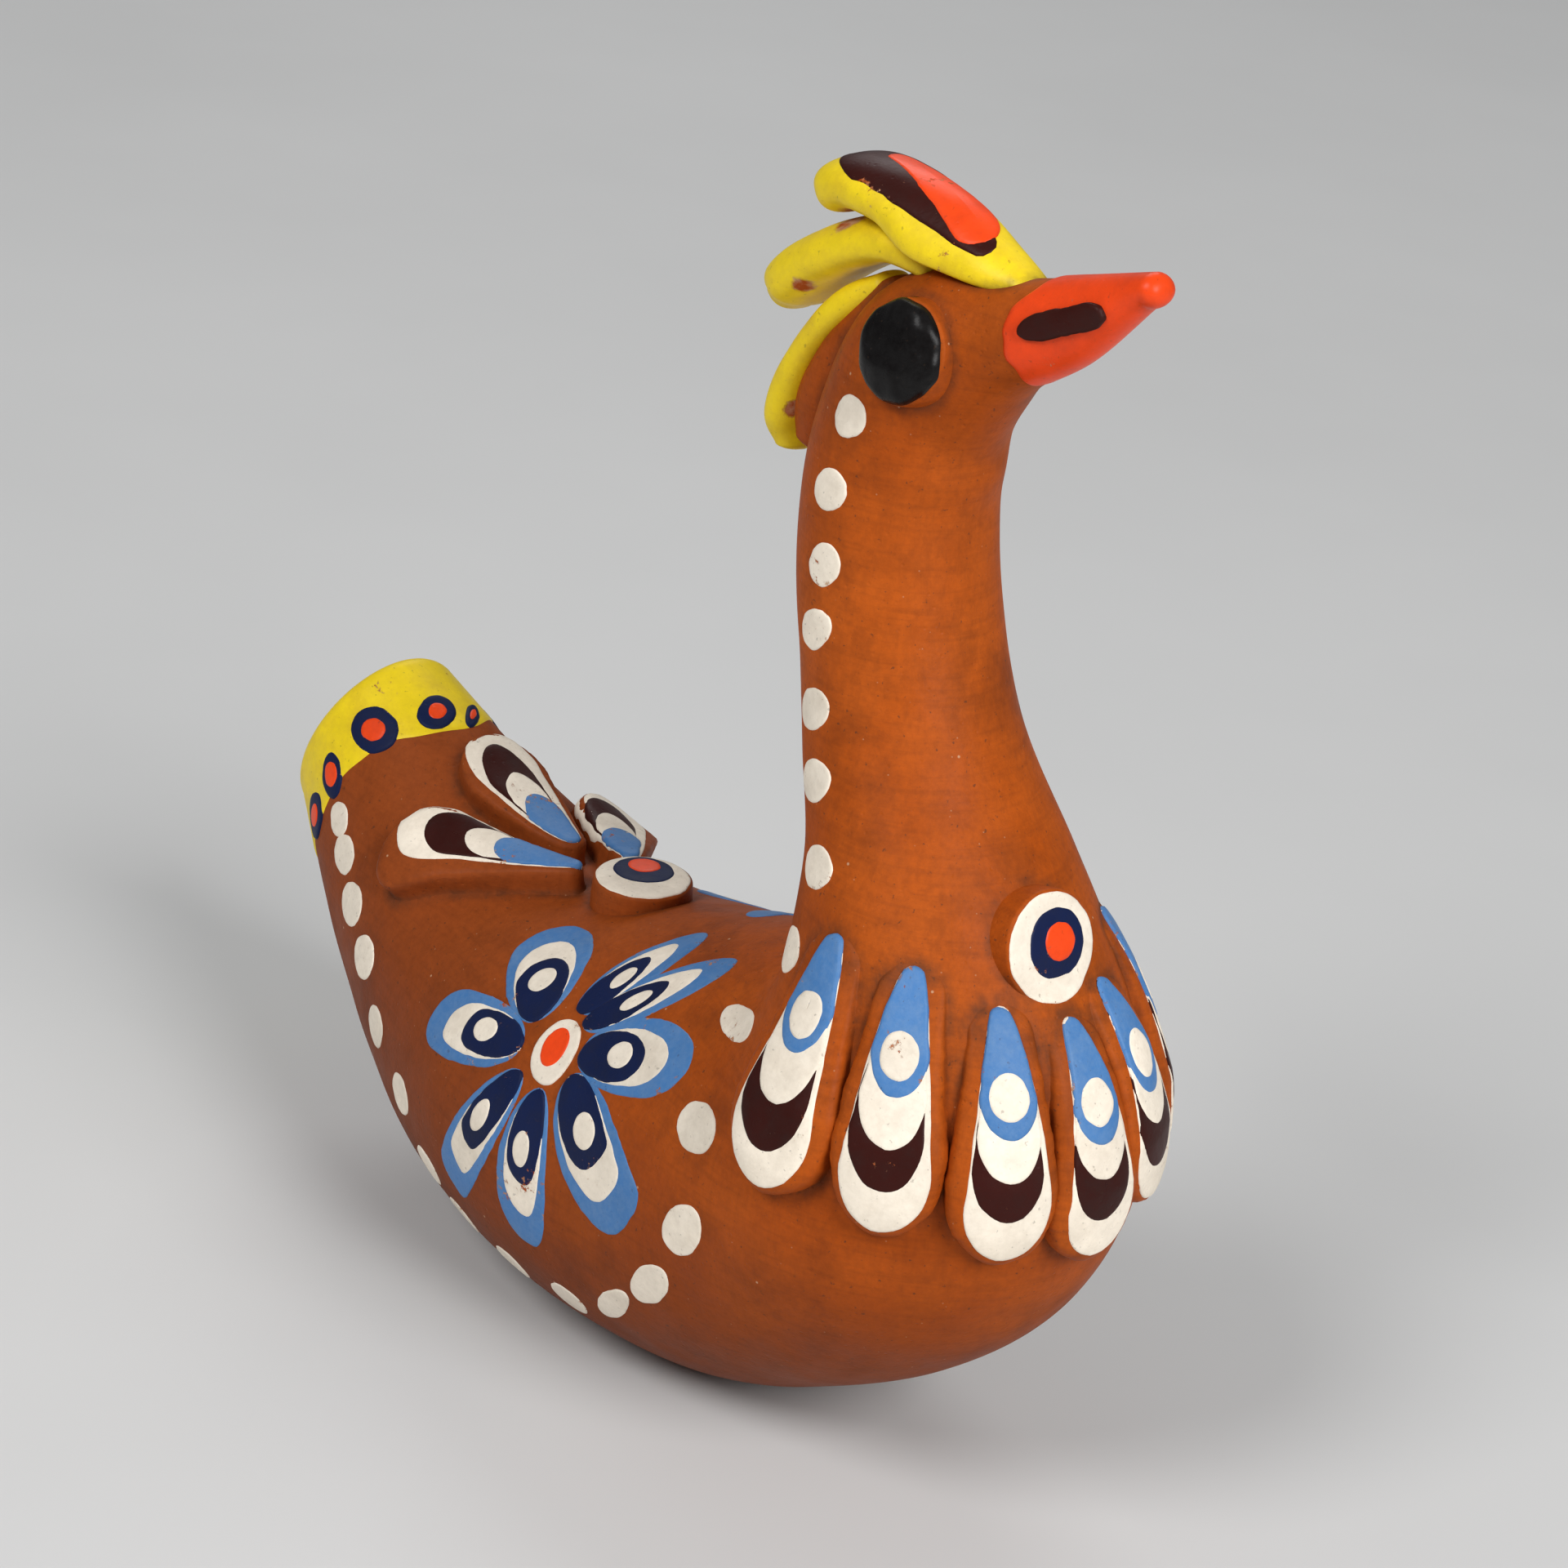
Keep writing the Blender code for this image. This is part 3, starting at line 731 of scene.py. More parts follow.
def crest_grid(points):
    """A tongue of clay along a curve on the middle plane, with an oval section and round ends."""
    count = (len(points) - 1) * CREST_RINGS_PER_POINT + 1
    rows = smooth_rows(points, np.linspace(0, len(points) - 1, count))
    angles = round_angles(CREST_SEGMENTS)
    across = np.sign(np.sin(angles)) * np.abs(np.sin(angles)) ** CREST_SQUARENESS
    height = np.sign(np.cos(angles)) * np.abs(np.cos(angles)) ** CREST_SQUARENESS
    along = np.gradient(rows[:, 0:2], axis=0)
    along = along / np.linalg.norm(along, axis=1)[:, None]
    headward = np.stack((-along[:, 1], along[:, 0]), axis=1)

    def ring(row, share, push):
        depth = height * rows[row, 3] * share + rows[row, 4] * (across * share) ** 2
        x = rows[row, 0] + along[row, 0] * push + headward[row, 0] * depth
        z = rows[row, 1] + along[row, 1] * push + headward[row, 1] * depth
        return np.stack((x, across * rows[row, 2] * share, z), axis=1)

    grid = [ring(row, 1.0, 0.0) for row in range(count)]
    for step in range(1, CREST_CAP_RINGS + 1):
        turn = math.pi / 2 * step / CREST_CAP_RINGS
        share = max(math.cos(turn), 0.02)
        grid.insert(0, ring(0, share, -rows[0, 3] * CREST_FIRST_CAP * math.sin(turn)))
        grid.append(ring(count - 1, share, rows[-1, 3] * CREST_LAST_CAP * math.sin(turn)))
    return np.array(grid)


def make_crest_piece(name, points, wave, seed):
    mesh = grid_mesh(name, crest_grid(points))
    wave_by_hand(mesh, wave, CREST_WAVE_LENGTH, seed)
    return mesh


def mouth_frame():
    """Origin at the lower rim of the mouthpiece, one direction along the belly, one inward."""
    lower = Vector((BODY_SECTIONS[0][2], 0.0, BODY_SECTIONS[0][3]))
    further = Vector((BODY_SECTIONS[1][2], 0.0, BODY_SECTIONS[1][3]))
    along = (further - lower).normalized()
    inward = Vector((-along.z, 0.0, along.x))
    return lower, along, inward


def prism_mesh(name, outline, width):
    origin, along, inward = mouth_frame()
    rows = []
    for y in (-width / 2, width / 2):
        rows.append([tuple(origin + along * a + inward * b + Vector((0.0, y, 0.0))) for a, b in outline])
    return grid_mesh(name, np.array(rows))


def make_cutters():
    places = np.linspace(CHAMBER_FIRST, CHAMBER_LAST, CHAMBER_RINGS)
    from_end = np.minimum(places - CHAMBER_FIRST, CHAMBER_LAST - places)
    closing = np.clip(1 - from_end / CHAMBER_END_ROUND, 0, 1)
    grid = body_grid(places, round_angles(CHAMBER_SEGMENTS), WALL, 0.0, WALL * closing ** 2)
    chamber = grid_mesh("chamber", grid)
    roof = WINDWAY_FLOOR + WINDWAY_HEIGHT
    middle = WINDWAY_LENGTH + WINDOW_LENGTH / 2
    window_end = WINDWAY_LENGTH + WINDOW_LENGTH
    windway = prism_mesh("windway", [
        (-CUT_OVERRUN, WINDWAY_FLOOR), (middle, WINDWAY_FLOOR), (middle, roof), (-CUT_OVERRUN, roof),
    ], WINDWAY_WIDTH)
    window = prism_mesh("window", [
        (WINDWAY_LENGTH, -CUT_OVERRUN), (window_end, -CUT_OVERRUN), (window_end, WINDOW_DEPTH),
        (WINDWAY_LENGTH, WINDOW_DEPTH),
    ], WINDOW_WIDTH)
    lip = prism_mesh("lip_ramp", [
        (window_end - LIP_THICKNESS, -CUT_OVERRUN), (window_end + LIP_RAMP_LENGTH, -CUT_OVERRUN),
        (window_end + LIP_RAMP_LENGTH, 0.0), (window_end - LIP_THICKNESS, WALL - LIP_THICKNESS),
    ], LIP_WIDTH)
    bpy.ops.mesh.primitive_cube_add(size=FLAT_CUT_SIZE * MM, location=(0.0, 0.0, -FLAT_CUT_SIZE / 2 * MM))
    flat = bpy.context.object
    flat.name = "flat_cut"
    return [make_object(mesh.name, mesh) for mesh in (chamber, windway, window, lip)] + [flat]


def cut_hollows(name, body):
    """A copy of the body with the chamber, windway, window, lip and resting flat cut out."""
    obj = make_object(name, body.copy())
    cutters = make_cutters()
    for cutter in cutters:
        modifier = obj.modifiers.new(cutter.name, "BOOLEAN")
        modifier.operation = "DIFFERENCE"
        modifier.object = cutter
        modifier.solver = "EXACT"
    mesh = plain_mesh(obj)
    bpy.data.objects.remove(obj)
    for cutter in cutters:
        bpy.data.objects.remove(cutter)
    mesh.name = name
    mesh.shade_smooth()
    mesh.set_sharp_from_angle(angle=math.radians(SHARP_ANGLE))
    return mesh


def plain_mesh(obj):
    """The mesh of an object as its modifiers leave it."""
    evaluated = obj.evaluated_get(bpy.context.evaluated_depsgraph_get())
    return bpy.data.meshes.new_from_object(evaluated)


def add_node(tree, kind, inputs=None, **settings):
    """A node with its settings, and each input either linked or given a value."""
    node = tree.nodes.new(kind)
    for name, value in settings.items():
        setattr(node, name, value)
    for name, value in (inputs or {}).items():
        socket = node.inputs[name]
        if isinstance(value, bpy.types.NodeSocket):
            tree.links.new(value, socket)
        else:
            socket.default_value = value
    return node


# Paint


class PaintPot:
    """Gathers the patches of one colour, each as a flat grid with the way down to the clay."""

    def __init__(self, name):
        self.name = name
        self.points = []
        self.faces = []
        self.aims = []
        self.lifts = []
        self.rims = []
        self.tones = []

    def add(self, chart, outline, lift, tone=0.5):
        """One patch of paint inside an outline of (u, v); lift in mm above the clay."""
        spine = spine_of(outline)
        offset = spine - outline
        depth = np.linalg.norm(offset, axis=1)
        inward = offset / np.maximum(depth, 1e-6)[:, None]
        rows = []
        for inside, share in PAINT_EDGE:
            reach = np.minimum(inside, depth * 0.6)
            height = lift * share if share > 0 else share * 0.1
            rows.append((outline + inward * reach[:, None], height, 1 - inside / 0.4))
        edge = rows[-1][0]
        for share in PAINT_INNER_SHARES:
            rows.append((spine + (edge - spine) * share, lift, 0.0))
        self.add_rows(chart, rows, tone)

    def add_rows(self, chart, rows, tone):
        count = len(rows[0][0])
        base = len(self.points)
        for places, height, rim in rows:
            for u, v in places:
                self.points.append(tuple(chart.start(u, v) * MM))
                self.aims.append(tuple(-chart.outward))
                self.lifts.append(height * MM)
                self.rims.append(rim)
                self.tones.append(tone)
        for row in range(len(rows) - 1):
            for column in range(count):
                near = base + row * count + column
                beside = base + row * count + (column + 1) % count
                self.faces.append((near, beside, beside + count, near + count))

    def mesh(self):
        mesh = bpy.data.meshes.new(self.name)
        mesh.from_pydata(self.points, [], self.faces)
        for name, values in (("lift", self.lifts), ("rim", self.rims), ("tone", self.tones)):
            attribute = mesh.attributes.new(name, "FLOAT", "POINT")
            attribute.data.foreach_set("value", np.array(values, np.float32))
        aims = mesh.attributes.new("aim", "FLOAT_VECTOR", "POINT")
        aims.data.foreach_set("vector", np.array(self.aims, np.float32).ravel())
        return mesh


def lay_on_clay_tree():
    """Geometry nodes that bring a flat patch down to the clay and stand it off by its lift."""
    tree = bpy.data.node_groups.new("lay_on_clay", "GeometryNodeTree")
    for label, kind in (("Patches", "NodeSocketGeometry"), ("Clay", "NodeSocketObject"),
                        ("Reach", "NodeSocketFloat"), ("Paint", "NodeSocketMaterial")):
        tree.interface.new_socket(label, in_out="INPUT", socket_type=kind)
    tree.interface.new_socket("Patches", in_out="OUTPUT", socket_type="NodeSocketGeometry")
    given = tree.nodes.new("NodeGroupInput").outputs
    clay = add_node(tree, "GeometryNodeObjectInfo", {"Object": given["Clay"]}, transform_space="ORIGINAL")
    aim = add_node(tree, "GeometryNodeInputNamedAttribute", {"Name": "aim"}, data_type="FLOAT_VECTOR")
    lift = add_node(tree, "GeometryNodeInputNamedAttribute", {"Name": "lift"}, data_type="FLOAT")
    clay_normal = add_node(tree, "GeometryNodeInputNormal")
    cast = add_node(tree, "GeometryNodeRaycast", {
        "Target Geometry": clay.outputs["Geometry"], "Attribute": clay_normal.outputs["Normal"],
        "Ray Direction": aim.outputs["Attribute"], "Ray Length": given["Reach"],
    }, data_type="FLOAT_VECTOR", mapping="INTERPOLATED")
    raised = add_node(tree, "ShaderNodeVectorMath", {
        0: cast.outputs["Attribute"], "Scale": lift.outputs["Attribute"],
    }, operation="SCALE")
    place = add_node(tree, "ShaderNodeVectorMath", {
        0: cast.outputs["Hit Position"], 1: raised.outputs["Vector"],
    }, operation="ADD")
    missed = add_node(tree, "FunctionNodeBooleanMath", {0: cast.outputs["Is Hit"]}, operation="NOT")
    keep = add_node(tree, "GeometryNodeDeleteGeometry", {
        "Geometry": given["Patches"], "Selection": missed.outputs["Boolean"],
    })
    lay = add_node(tree, "GeometryNodeSetPosition", {
        "Geometry": keep.outputs["Geometry"], "Position": place.outputs["Vector"],
    })
    realize = add_node(tree, "GeometryNodeRealizeInstances", {"Geometry": lay.outputs["Geometry"]})
    paint = add_node(tree, "GeometryNodeSetMaterial", {
        "Geometry": realize.outputs["Geometry"], "Material": given["Paint"],
    })
    add_node(tree, "NodeGroupOutput", {"Patches": paint.outputs["Geometry"]})
    return tree


def set_input(modifier, name, value):
    for item in modifier.node_group.interface.items_tree:
        if item.item_type == "SOCKET" and item.in_out == "INPUT" and item.name == name:
            modifier[item.identifier] = value


def paint_both(pot, chart, outline, lift, tone=0.5):
    """A patch on the right side and its twin on the left."""
    for board in (chart, chart.mirrored()):
        pot.add(board, outline, lift, tone)


def lay_paint(pot, tree, clay, material):
    """The finished mesh object of one colour, laid on the clay."""
    obj = make_object(pot.name, pot.mesh())
    modifier = obj.modifiers.new("lay_on_clay", "NODES")
    modifier.node_group = tree
    set_input(modifier, "Clay", clay)
    set_input(modifier, "Reach", RAY_LENGTH * MM)
    set_input(modifier, "Paint", material)
    mesh = plain_mesh(obj)
    obj.modifiers.clear()
    for name in ("aim", "lift"):
        attribute = mesh.attributes.get(name)
        if attribute:
            mesh.attributes.remove(attribute)
    obj.data = mesh
    tidy_paint(mesh)
    return obj


def tidy_paint(mesh):
    """Merges the closed middles of the patches, drops degenerate edges and shades the paint smooth."""
    shape = bmesh.new()
    shape.from_mesh(mesh)
    bmesh.ops.remove_doubles(shape, verts=shape.verts, dist=SAME_PAINT_POINT)
    bmesh.ops.dissolve_degenerate(shape, edges=shape.edges, dist=1e-6)
    shape.to_mesh(mesh)
    shape.free()
    mesh.shade_smooth()


def photo_chart(skin, narrow, wide):
    """A chart square on the clay between two pixels, with v from the first to the second."""
    first, first_normal = on_clay(skin, narrow)
    last, last_normal = on_clay(skin, wide)
    middle, normal = on_clay(skin, ((narrow[0] + wide[0]) / 2, (narrow[1] + wide[1]) / 2))
    outward = (first_normal + last_normal + normal * 2).normalized()
    ahead = last - first
    ahead = (ahead - outward * ahead.dot(outward)).normalized()
    side = outward.cross(ahead)
    return Chart(first, side, ahead, outward), (last - first).dot(ahead)


def photo_drop(skin, narrow, wide, left, right):
    """Chart, length and widest places of a drop from four pixels of the photo."""
    chart, length = photo_chart(skin, narrow, wide)
    places = []
    for pixel in (left, right):
        point, _ = on_clay(skin, pixel)
        places.append(chart.read(point))
    places.sort()
    return chart, length, places[0], places[1]


# Rosette on the side: petals by pixels of the photo, narrow end, round end and two widest places
ROSETTE_PETALS = {
    "top": ((657, 1251), (686, 1135), (622, 1180), (724, 1168)),
    "upper_first": ((707, 1238), (867, 1143), (772, 1172), (790, 1206)),
    "upper_second": ((713, 1256), (903, 1177), (800, 1196), (818, 1232)),
    "right": ((708, 1294), (847, 1299), (793, 1246), (785, 1345)),
    "lower_right": ((700, 1316), (757, 1511), (690, 1440), (780, 1455)),
    "bottom": ((664, 1333), (652, 1526), (608, 1450), (667, 1460)),
    "lower_left": ((640, 1313), (565, 1463), (541, 1405), (603, 1405)),
    "left": ((641, 1279), (522, 1262), (572, 1212), (580, 1306)),
}
# Nested colours of a rosette petal: colour, share of the length, share of the width
ROSETTE_LAYERS = (("blue", 1.0, 1.0), ("cream", 0.80, 0.74), ("navy", 0.60, 0.66))
ROSETTE_DOT_AT = 0.375
ROSETTE_DOT_LENGTH = 0.118
ROSETTE_DOT_WIDTH = 0.18
ROSETTE_CENTRE = ((680, 1287), (705, 1250), (659, 1274))

# Cream dots by pixels of the photo: centre, half width, half height
NECK_DOTS = (
    (1040, 510, 20, 27), (1015, 600, 20, 27), (1008, 692, 19, 27), (997, 770, 18, 26),
    (995, 868, 17, 27), (996, 955, 17, 27), (999, 1062, 16, 28),
)
BODY_DOTS = (
    (415, 1003, 11, 22), (421, 1046, 12, 25), (430, 1107, 12, 28), (445, 1172, 12, 28),
    (460, 1257, 11, 29), (490, 1340, 12, 30), (525, 1427, 13, 30), (697, 1590, 26, 18),
    (750, 1597, 26, 18), (795, 1573, 30, 24), (835, 1507, 32, 32), (853, 1380, 25, 33),
    (905, 1253, 25, 33), (967, 1162, 16, 27),
)
# A short blue petal where the back meets the neck, in the same way
NECK_PETAL = (945, 1118, 36, 8)
DOT_POINTS = 48
# No dot that is found by its pixels reaches further than this from its middle, in mm
DOT_LARGEST_HALF = 2.7
# A neck or body dot that faces the camera less than this, as a cosine, has the low dots' size
EDGE_ON = 0.36
# Two dots low on the side, where the photo sees the clay edge on: places and half sizes in mm
LOW_DOTS = ((-16.5, -17.4, 8.6), (-9.0, -17.8, 7.2))
LOW_DOT_HALF = (2.2, 2.0)

# Navy and orange dots on the band of the mouthpiece, in the same way, each with the half sizes
# of its orange middle; the first three have no twins, and one dot on the left is placed in mm
BAND_DOTS = (
    (535, 872, 24, 21, 12, 11), (578, 876, 9, 14, 5, 7), (458, 894, 31, 29, 16, 15),
    (407, 948, 12, 30, 8, 17), (387, 998, 7, 30, 4, 16),
)
BAND_DOTS_ALONE = 3
BAND_LEFT_DOT = (-52.0, 7.9, 39.0)
BAND_LEFT_DOT_HALVES = (2.0, 1.05)

# Nested colours of a chest feather: colour, share of the length, how much of the left and right
FEATHER_LAYERS = (
    ("cream", 1.0, 1.0, 1.0),
    ("brown", 0.828, 0.98, 0.88),
    ("cream", 0.635, 0.975, 0.93),
    ("blue", 0.468, 1.0, 1.0),
)
FEATHER_PAINT_SHARE = 0.845
FEATHER_PAINT_MARGIN = 0.75
FEATHER_DOT_AT = 0.308
FEATHER_DOT_HALF = (1.75, 1.9)

# Nested colours of a back petal, in the same way, from its outer end to the disc
PETAL_LAYERS = (
    ("cream", 1.0, 1.0, 1.0),
    ("brown", 0.845, 0.66, 0.90),
    ("cream", 0.65, 0.62, 0.84),
    ("blue", 0.47, 0.80, 0.96),
)
PETAL_PAINT_MARGIN = 0.24


def paint_nested(pots, chart, layers, start, length, half_width, shape, seed):
    """Nested drops of a feather or petal; each keeps the narrow end and is shorter than the last."""
    for level, (colour, reach, left, right) in enumerate(layers):
        sway = 0.015 * math.sin(seed * 5.3 + level * 2.1)
        outline = growing_drop(length, half_width, shape, min(reach + sway, 1.0), (left, right))
        outline = unsteady(outline + (0.0, start), 0.10, seed + level * 0.37)
        pots[colour].add(chart, outline, LAYER_LIFTS[level], (seed * 0.37 + level * 0.21) % 1.0)


def paint_feathers(pots):
    for number, feather in enumerate(FEATHERS):
        chart, length = feather_chart(feather)
        half_width = feather[4] * FEATHER_PAINT_SHARE
        painted = length - FEATHER_PAINT_MARGIN
        paint_nested(pots, chart, FEATHER_LAYERS, 0.0, painted, half_width,
                     PAINT_FEATHER_SHAPE, 40 + number)
        centre = (0.0, painted * FEATHER_DOT_AT)
        dot = unsteady(ellipse_outline(centre, *FEATHER_DOT_HALF), 0.1, 60 + number)
        pots["cream"].add(chart, dot, LAYER_LIFTS[4], number * 0.19 % 1.0)


def paint_back_petals(pots):
    for number, petal in enumerate(PETALS):
        length = petal[2] - 2 * PETAL_PAINT_MARGIN
        half_width = petal[3] - PETAL_PAINT_MARGIN
        paint_nested(pots, petal_chart(petal), PETAL_LAYERS, PETAL_PAINT_MARGIN, length, half_width,
                     PAINT_PETAL_SHAPE, 70 + number)


def paint_rosette(pots, skin):
    for number, pixels in enumerate(ROSETTE_PETALS.values()):
        chart, length, left, right = photo_drop(skin, *pixels)
        for level, (colour, length_share, width_share) in enumerate(ROSETTE_LAYERS):
            outline = drop_outline(
                length * length_share,
                (left[0] * width_share, left[1] * length_share),
                (right[0] * width_share, right[1] * length_share),
            )
            outline = unsteady(outline, 0.12, 80 + number + level * 0.31)
            tone = (number * 0.31 + level * 0.2) % 1.0
            paint_both(pots[colour], chart, outline, LAYER_LIFTS[level], tone)
        width = right[0] - left[0]
        centre = ((left[0] + right[0]) / 2, length * ROSETTE_DOT_AT)
        dot = ellipse_outline(centre, width * ROSETTE_DOT_WIDTH, length * ROSETTE_DOT_LENGTH)
        paint_both(pots["cream"], chart, unsteady(dot, 0.06, number), LAYER_LIFTS[3], number * 0.23 % 1.0)
    centre, end, side = ROSETTE_CENTRE
    chart, half_length = photo_chart(skin, centre, end)
    side_point, _ = on_clay(skin, side)
    half_width = abs(chart.read(side_point)[0])
    outer = unsteady(ellipse_outline((0, 0), half_width, half_length), 0.1, 95)
    inner = unsteady(ellipse_outline((0.2, 0.3), half_width * 0.6, half_length * 0.62), 0.08, 96)
    paint_both(pots["cream"], chart, outer, LAYER_LIFTS[1], 0.3)
    paint_both(pots["orange"], chart, inner, LAYER_LIFTS[2])


def photo_dot(skin, x, y, half_across, half_up, edge_on_half=None):
    """Board and outline of a dot, found on the flat that touches the clay at its middle.

    With edge_on_half, a dot that the photo sees nearly edge on takes those half sizes instead.
    """
    centre, normal = on_clay(skin, (x, y))
    side = normal.orthogonal().normalized()
    chart = Chart(centre, side, normal.cross(side), normal)
    if edge_on_half and -photo_direction((x, y)).dot(normal) < EDGE_ON:
        return placed_dot(skin, centre, *edge_on_half)

    def half(pixel):
        direction = photo_direction(pixel)
        away = (centre - CAMERA_PLACE).dot(normal) / direction.dot(normal)
        place = np.array(chart.read(CAMERA_PLACE + direction * away))
        return place * min(1.0, DOT_LARGEST_HALF / np.linalg.norm(place))

    angles = round_angles(DOT_POINTS)[:, None]
    return chart, np.cos(angles) * half((x + half_across, y)) + np.sin(angles) * half((x, y - half_up))


def placed_dot(skin, place, half_u, half_v):
    """Board and outline of a dot at a place in mm."""
    centre, normal = skin.nearest(Vector(place))
    along = normal.cross(Vector((0.0, 0.0, 1.0))).normalized()
    outline = ellipse_outline((0, 0), half_u, half_v, DOT_POINTS)
    return Chart(centre, along, normal.cross(along), normal), outline


def paint_dots(pots, skin):
    dots = [photo_dot(skin, *pixels, LOW_DOT_HALF) for pixels in NECK_DOTS + BODY_DOTS]
    dots += [placed_dot(skin, place, *LOW_DOT_HALF) for place in LOW_DOTS]
    for number, (chart, outline) in enumerate(dots):
        outline = unsteady(outline, 0.14, 100 + number)
        paint_both(pots["cream"], chart, outline, LAYER_LIFTS[0], number * 0.29 % 1.0)
    chart, outline = photo_dot(skin, *NECK_PETAL)
    pots["blue"].add(chart, unsteady(outline, 0.1, 99), LAYER_LIFTS[0])


def paint_band_dots(pots, skin):
    for number, (x, y, *halves) in enumerate(BAND_DOTS):
        for colour, size, level in (("navy", halves[:2], 2), ("orange", halves[2:], 3)):
            chart, outline = photo_dot(skin, x, y, *size)
            outline = unsteady(outline, 0.12, 140 + number + level)
            pots[colour].add(chart, outline, LAYER_LIFTS[level])
            if number >= BAND_DOTS_ALONE:
                pots[colour].add(chart.mirrored(), outline, LAYER_LIFTS[level])
    for colour, half, level in zip(("navy", "orange"), BAND_LEFT_DOT_HALVES, (2, 3)):
        chart, outline = placed_dot(skin, BAND_LEFT_DOT, half, half)
        pots[colour].add(chart, unsteady(outline, 0.12, 150 + level), LAYER_LIFTS[level])


# Rings painted on the discs: colour, radius and middle in mm, on the disc's own face
BACK_DISC_RINGS = (
    ("cream", 4.40, (0.0, 0.0)),
    ("navy", 2.9, (0.8, 1.0)),
    ("orange", 1.6, (1.3, 1.6)),
)
CHEST_DISC_RINGS = (
    ("cream", 4.60, (0.0, 0.0)),
    ("navy", 3.05, (0.45, 0.25)),
    ("orange", 1.72, (0.75, 0.3)),
)


def paint_rings(pots, chart, rings, seed):
    for level, (colour, radius, at) in enumerate(rings):
        outline = unsteady(ellipse_outline(at, radius, radius), 0.1, seed + level)
        pots[colour].add(chart, outline, LAYER_LIFTS[level])


def paint_disc_faces(pots, skin):
    centre, normal = back_disc_place()
    chart = Chart(centre, Vector((0.0, 1.0, 0.0)), Vector((-1.0, 0.0, 0.0)), normal)
    paint_rings(pots, chart, BACK_DISC_RINGS, 120)
    centre, normal = chest_disc_place(skin)
    side = Vector((0.0, 1.0, 0.0))
    paint_rings(pots, Chart(centre, side, normal.cross(side), normal), CHEST_DISC_RINGS, 130)


# Drops on the top of the front crest tongue: colour, narrow end and round end as (x, y) in mm,
# half width and how the drop grows
CREST_DROPS = (
    ("brown", (20.8, -1.7), (1.6, 0.3), 3.7, PAINT_PETAL_SHAPE),
    ("orange", (5.4, 0.9), (20.0, -1.1), 2.0, (0.45, 0.55, 0.9)),
)
CREST_BOARD_Z = 114.0
CREST_BOARD_REACH = 2.0


def paint_crest(pots):
    up = Vector((0.0, 0.0, 1.0))
    for level, (colour, narrow_end, round_end, half_width, shape) in enumerate(CREST_DROPS):
        start = Vector((*narrow_end, CREST_BOARD_Z))
        run = Vector((*round_end, CREST_BOARD_Z)) - start
        along = run.normalized()
        chart = Chart(start, along.cross(up), along, up, CREST_BOARD_REACH)
        outline = growing_drop(run.length, half_width, shape)
        outline = unsteady(outline, 0.15, 160 + level)
        pots[colour].add(chart, outline, LAYER_LIFTS[level])


# The thick brown stroke on each side of the beak, by the pixels of its two ends; then, in mm,
# its half height and how far each end runs out of the straight middle
BEAK_STROKE = ((1262, 403), (1341, 386))
BEAK_STROKE_HALF_HEIGHT = 1.08
BEAK_STROKE_END_REACH = 2.2
BEAK_STROKE_LIFT = 0.55


def paint_beak_strokes(pots, skin):
    chart, length = photo_chart(skin, *BEAK_STROKE)
    angles = round_angles(PAINT_OUTLINE_POINTS)
    shift = BEAK_STROKE_END_REACH - BEAK_STROKE_HALF_HEIGHT
    middle = np.where(np.sin(angles) > 0, length - shift, shift)
    outline = np.stack((np.cos(angles) * BEAK_STROKE_HALF_HEIGHT,
                        np.sin(angles) * BEAK_STROKE_END_REACH + middle), axis=1)
    outline = unsteady(even_outline(outline, PAINT_OUTLINE_POINTS), 0.2, 170)
    paint_both(pots["brown"], chart, outline, BEAK_STROKE_LIFT)


# Band of the mouthpiece and coat of the beak, as places along the body
BAND_SIDE_PLACE = 0.59
BAND_TOP_MORE = 0.41
BAND_BELLY_LESS = 0.12
BEAK_EDGE_PLACE = 19.27
BEAK_EDGE_TOP_MORE = 0.38
# How their brushed edges wave: how far, waves round the body, and the seed
BAND_EDGE_WAVE = (0.045, 2.6, 4.2)
BEAK_EDGE_WAVE = (0.07, 2.2, 9.1)
COAT_LIFT = 0.12
COAT_EDGE_SINK = 0.06
TAIL_BAND_ROWS = 26
BEAK_COAT_ROWS = 46


def coat_rows(edge_places, far_place, count):
    """Rows of a coat over the body from a wavy edge to a far place; the edge row sinks in."""
    angles = round_angles(BODY_SEGMENTS)
    rows = []
    for step in range(count):
        share = step / (count - 1)
        places = edge_places + (far_place - edge_places) * share
        lift = COAT_LIFT
        if step == 0:
            lift = -COAT_EDGE_SINK
        elif step == 1:
            lift = COAT_LIFT * 0.7
        row = [body_grid([place], np.array([angle]), -lift)[0, 0] for place, angle in zip(places, angles)]
        rows.append(row)
    return np.array(rows)


def edge_wave(angles, amount, waves, seed):
    """How a brushed edge runs in and out round the body."""
    places = [Vector((math.cos(angle) * waves, math.sin(angle) * waves, seed)) for angle in angles]
    return amount * np.array([noise.noise(place) for place in places])


def make_tail_band():
    angles = round_angles(BODY_SEGMENTS)
    upness = np.cos(angles)
    edge = BAND_SIDE_PLACE + BAND_TOP_MORE * np.clip(upness, 0, 1) ** 5
    edge -= BAND_BELLY_LESS * np.clip(-upness, 0, 1)
    rows = coat_rows(edge + edge_wave(angles, *BAND_EDGE_WAVE), 0.0, TAIL_BAND_ROWS)
    end = rounded_end(0, angles, TAIL_END_ROUND, -1, -COAT_LIFT)
    return grid_mesh("tail_band", np.concatenate((rows, end)), capped=False)


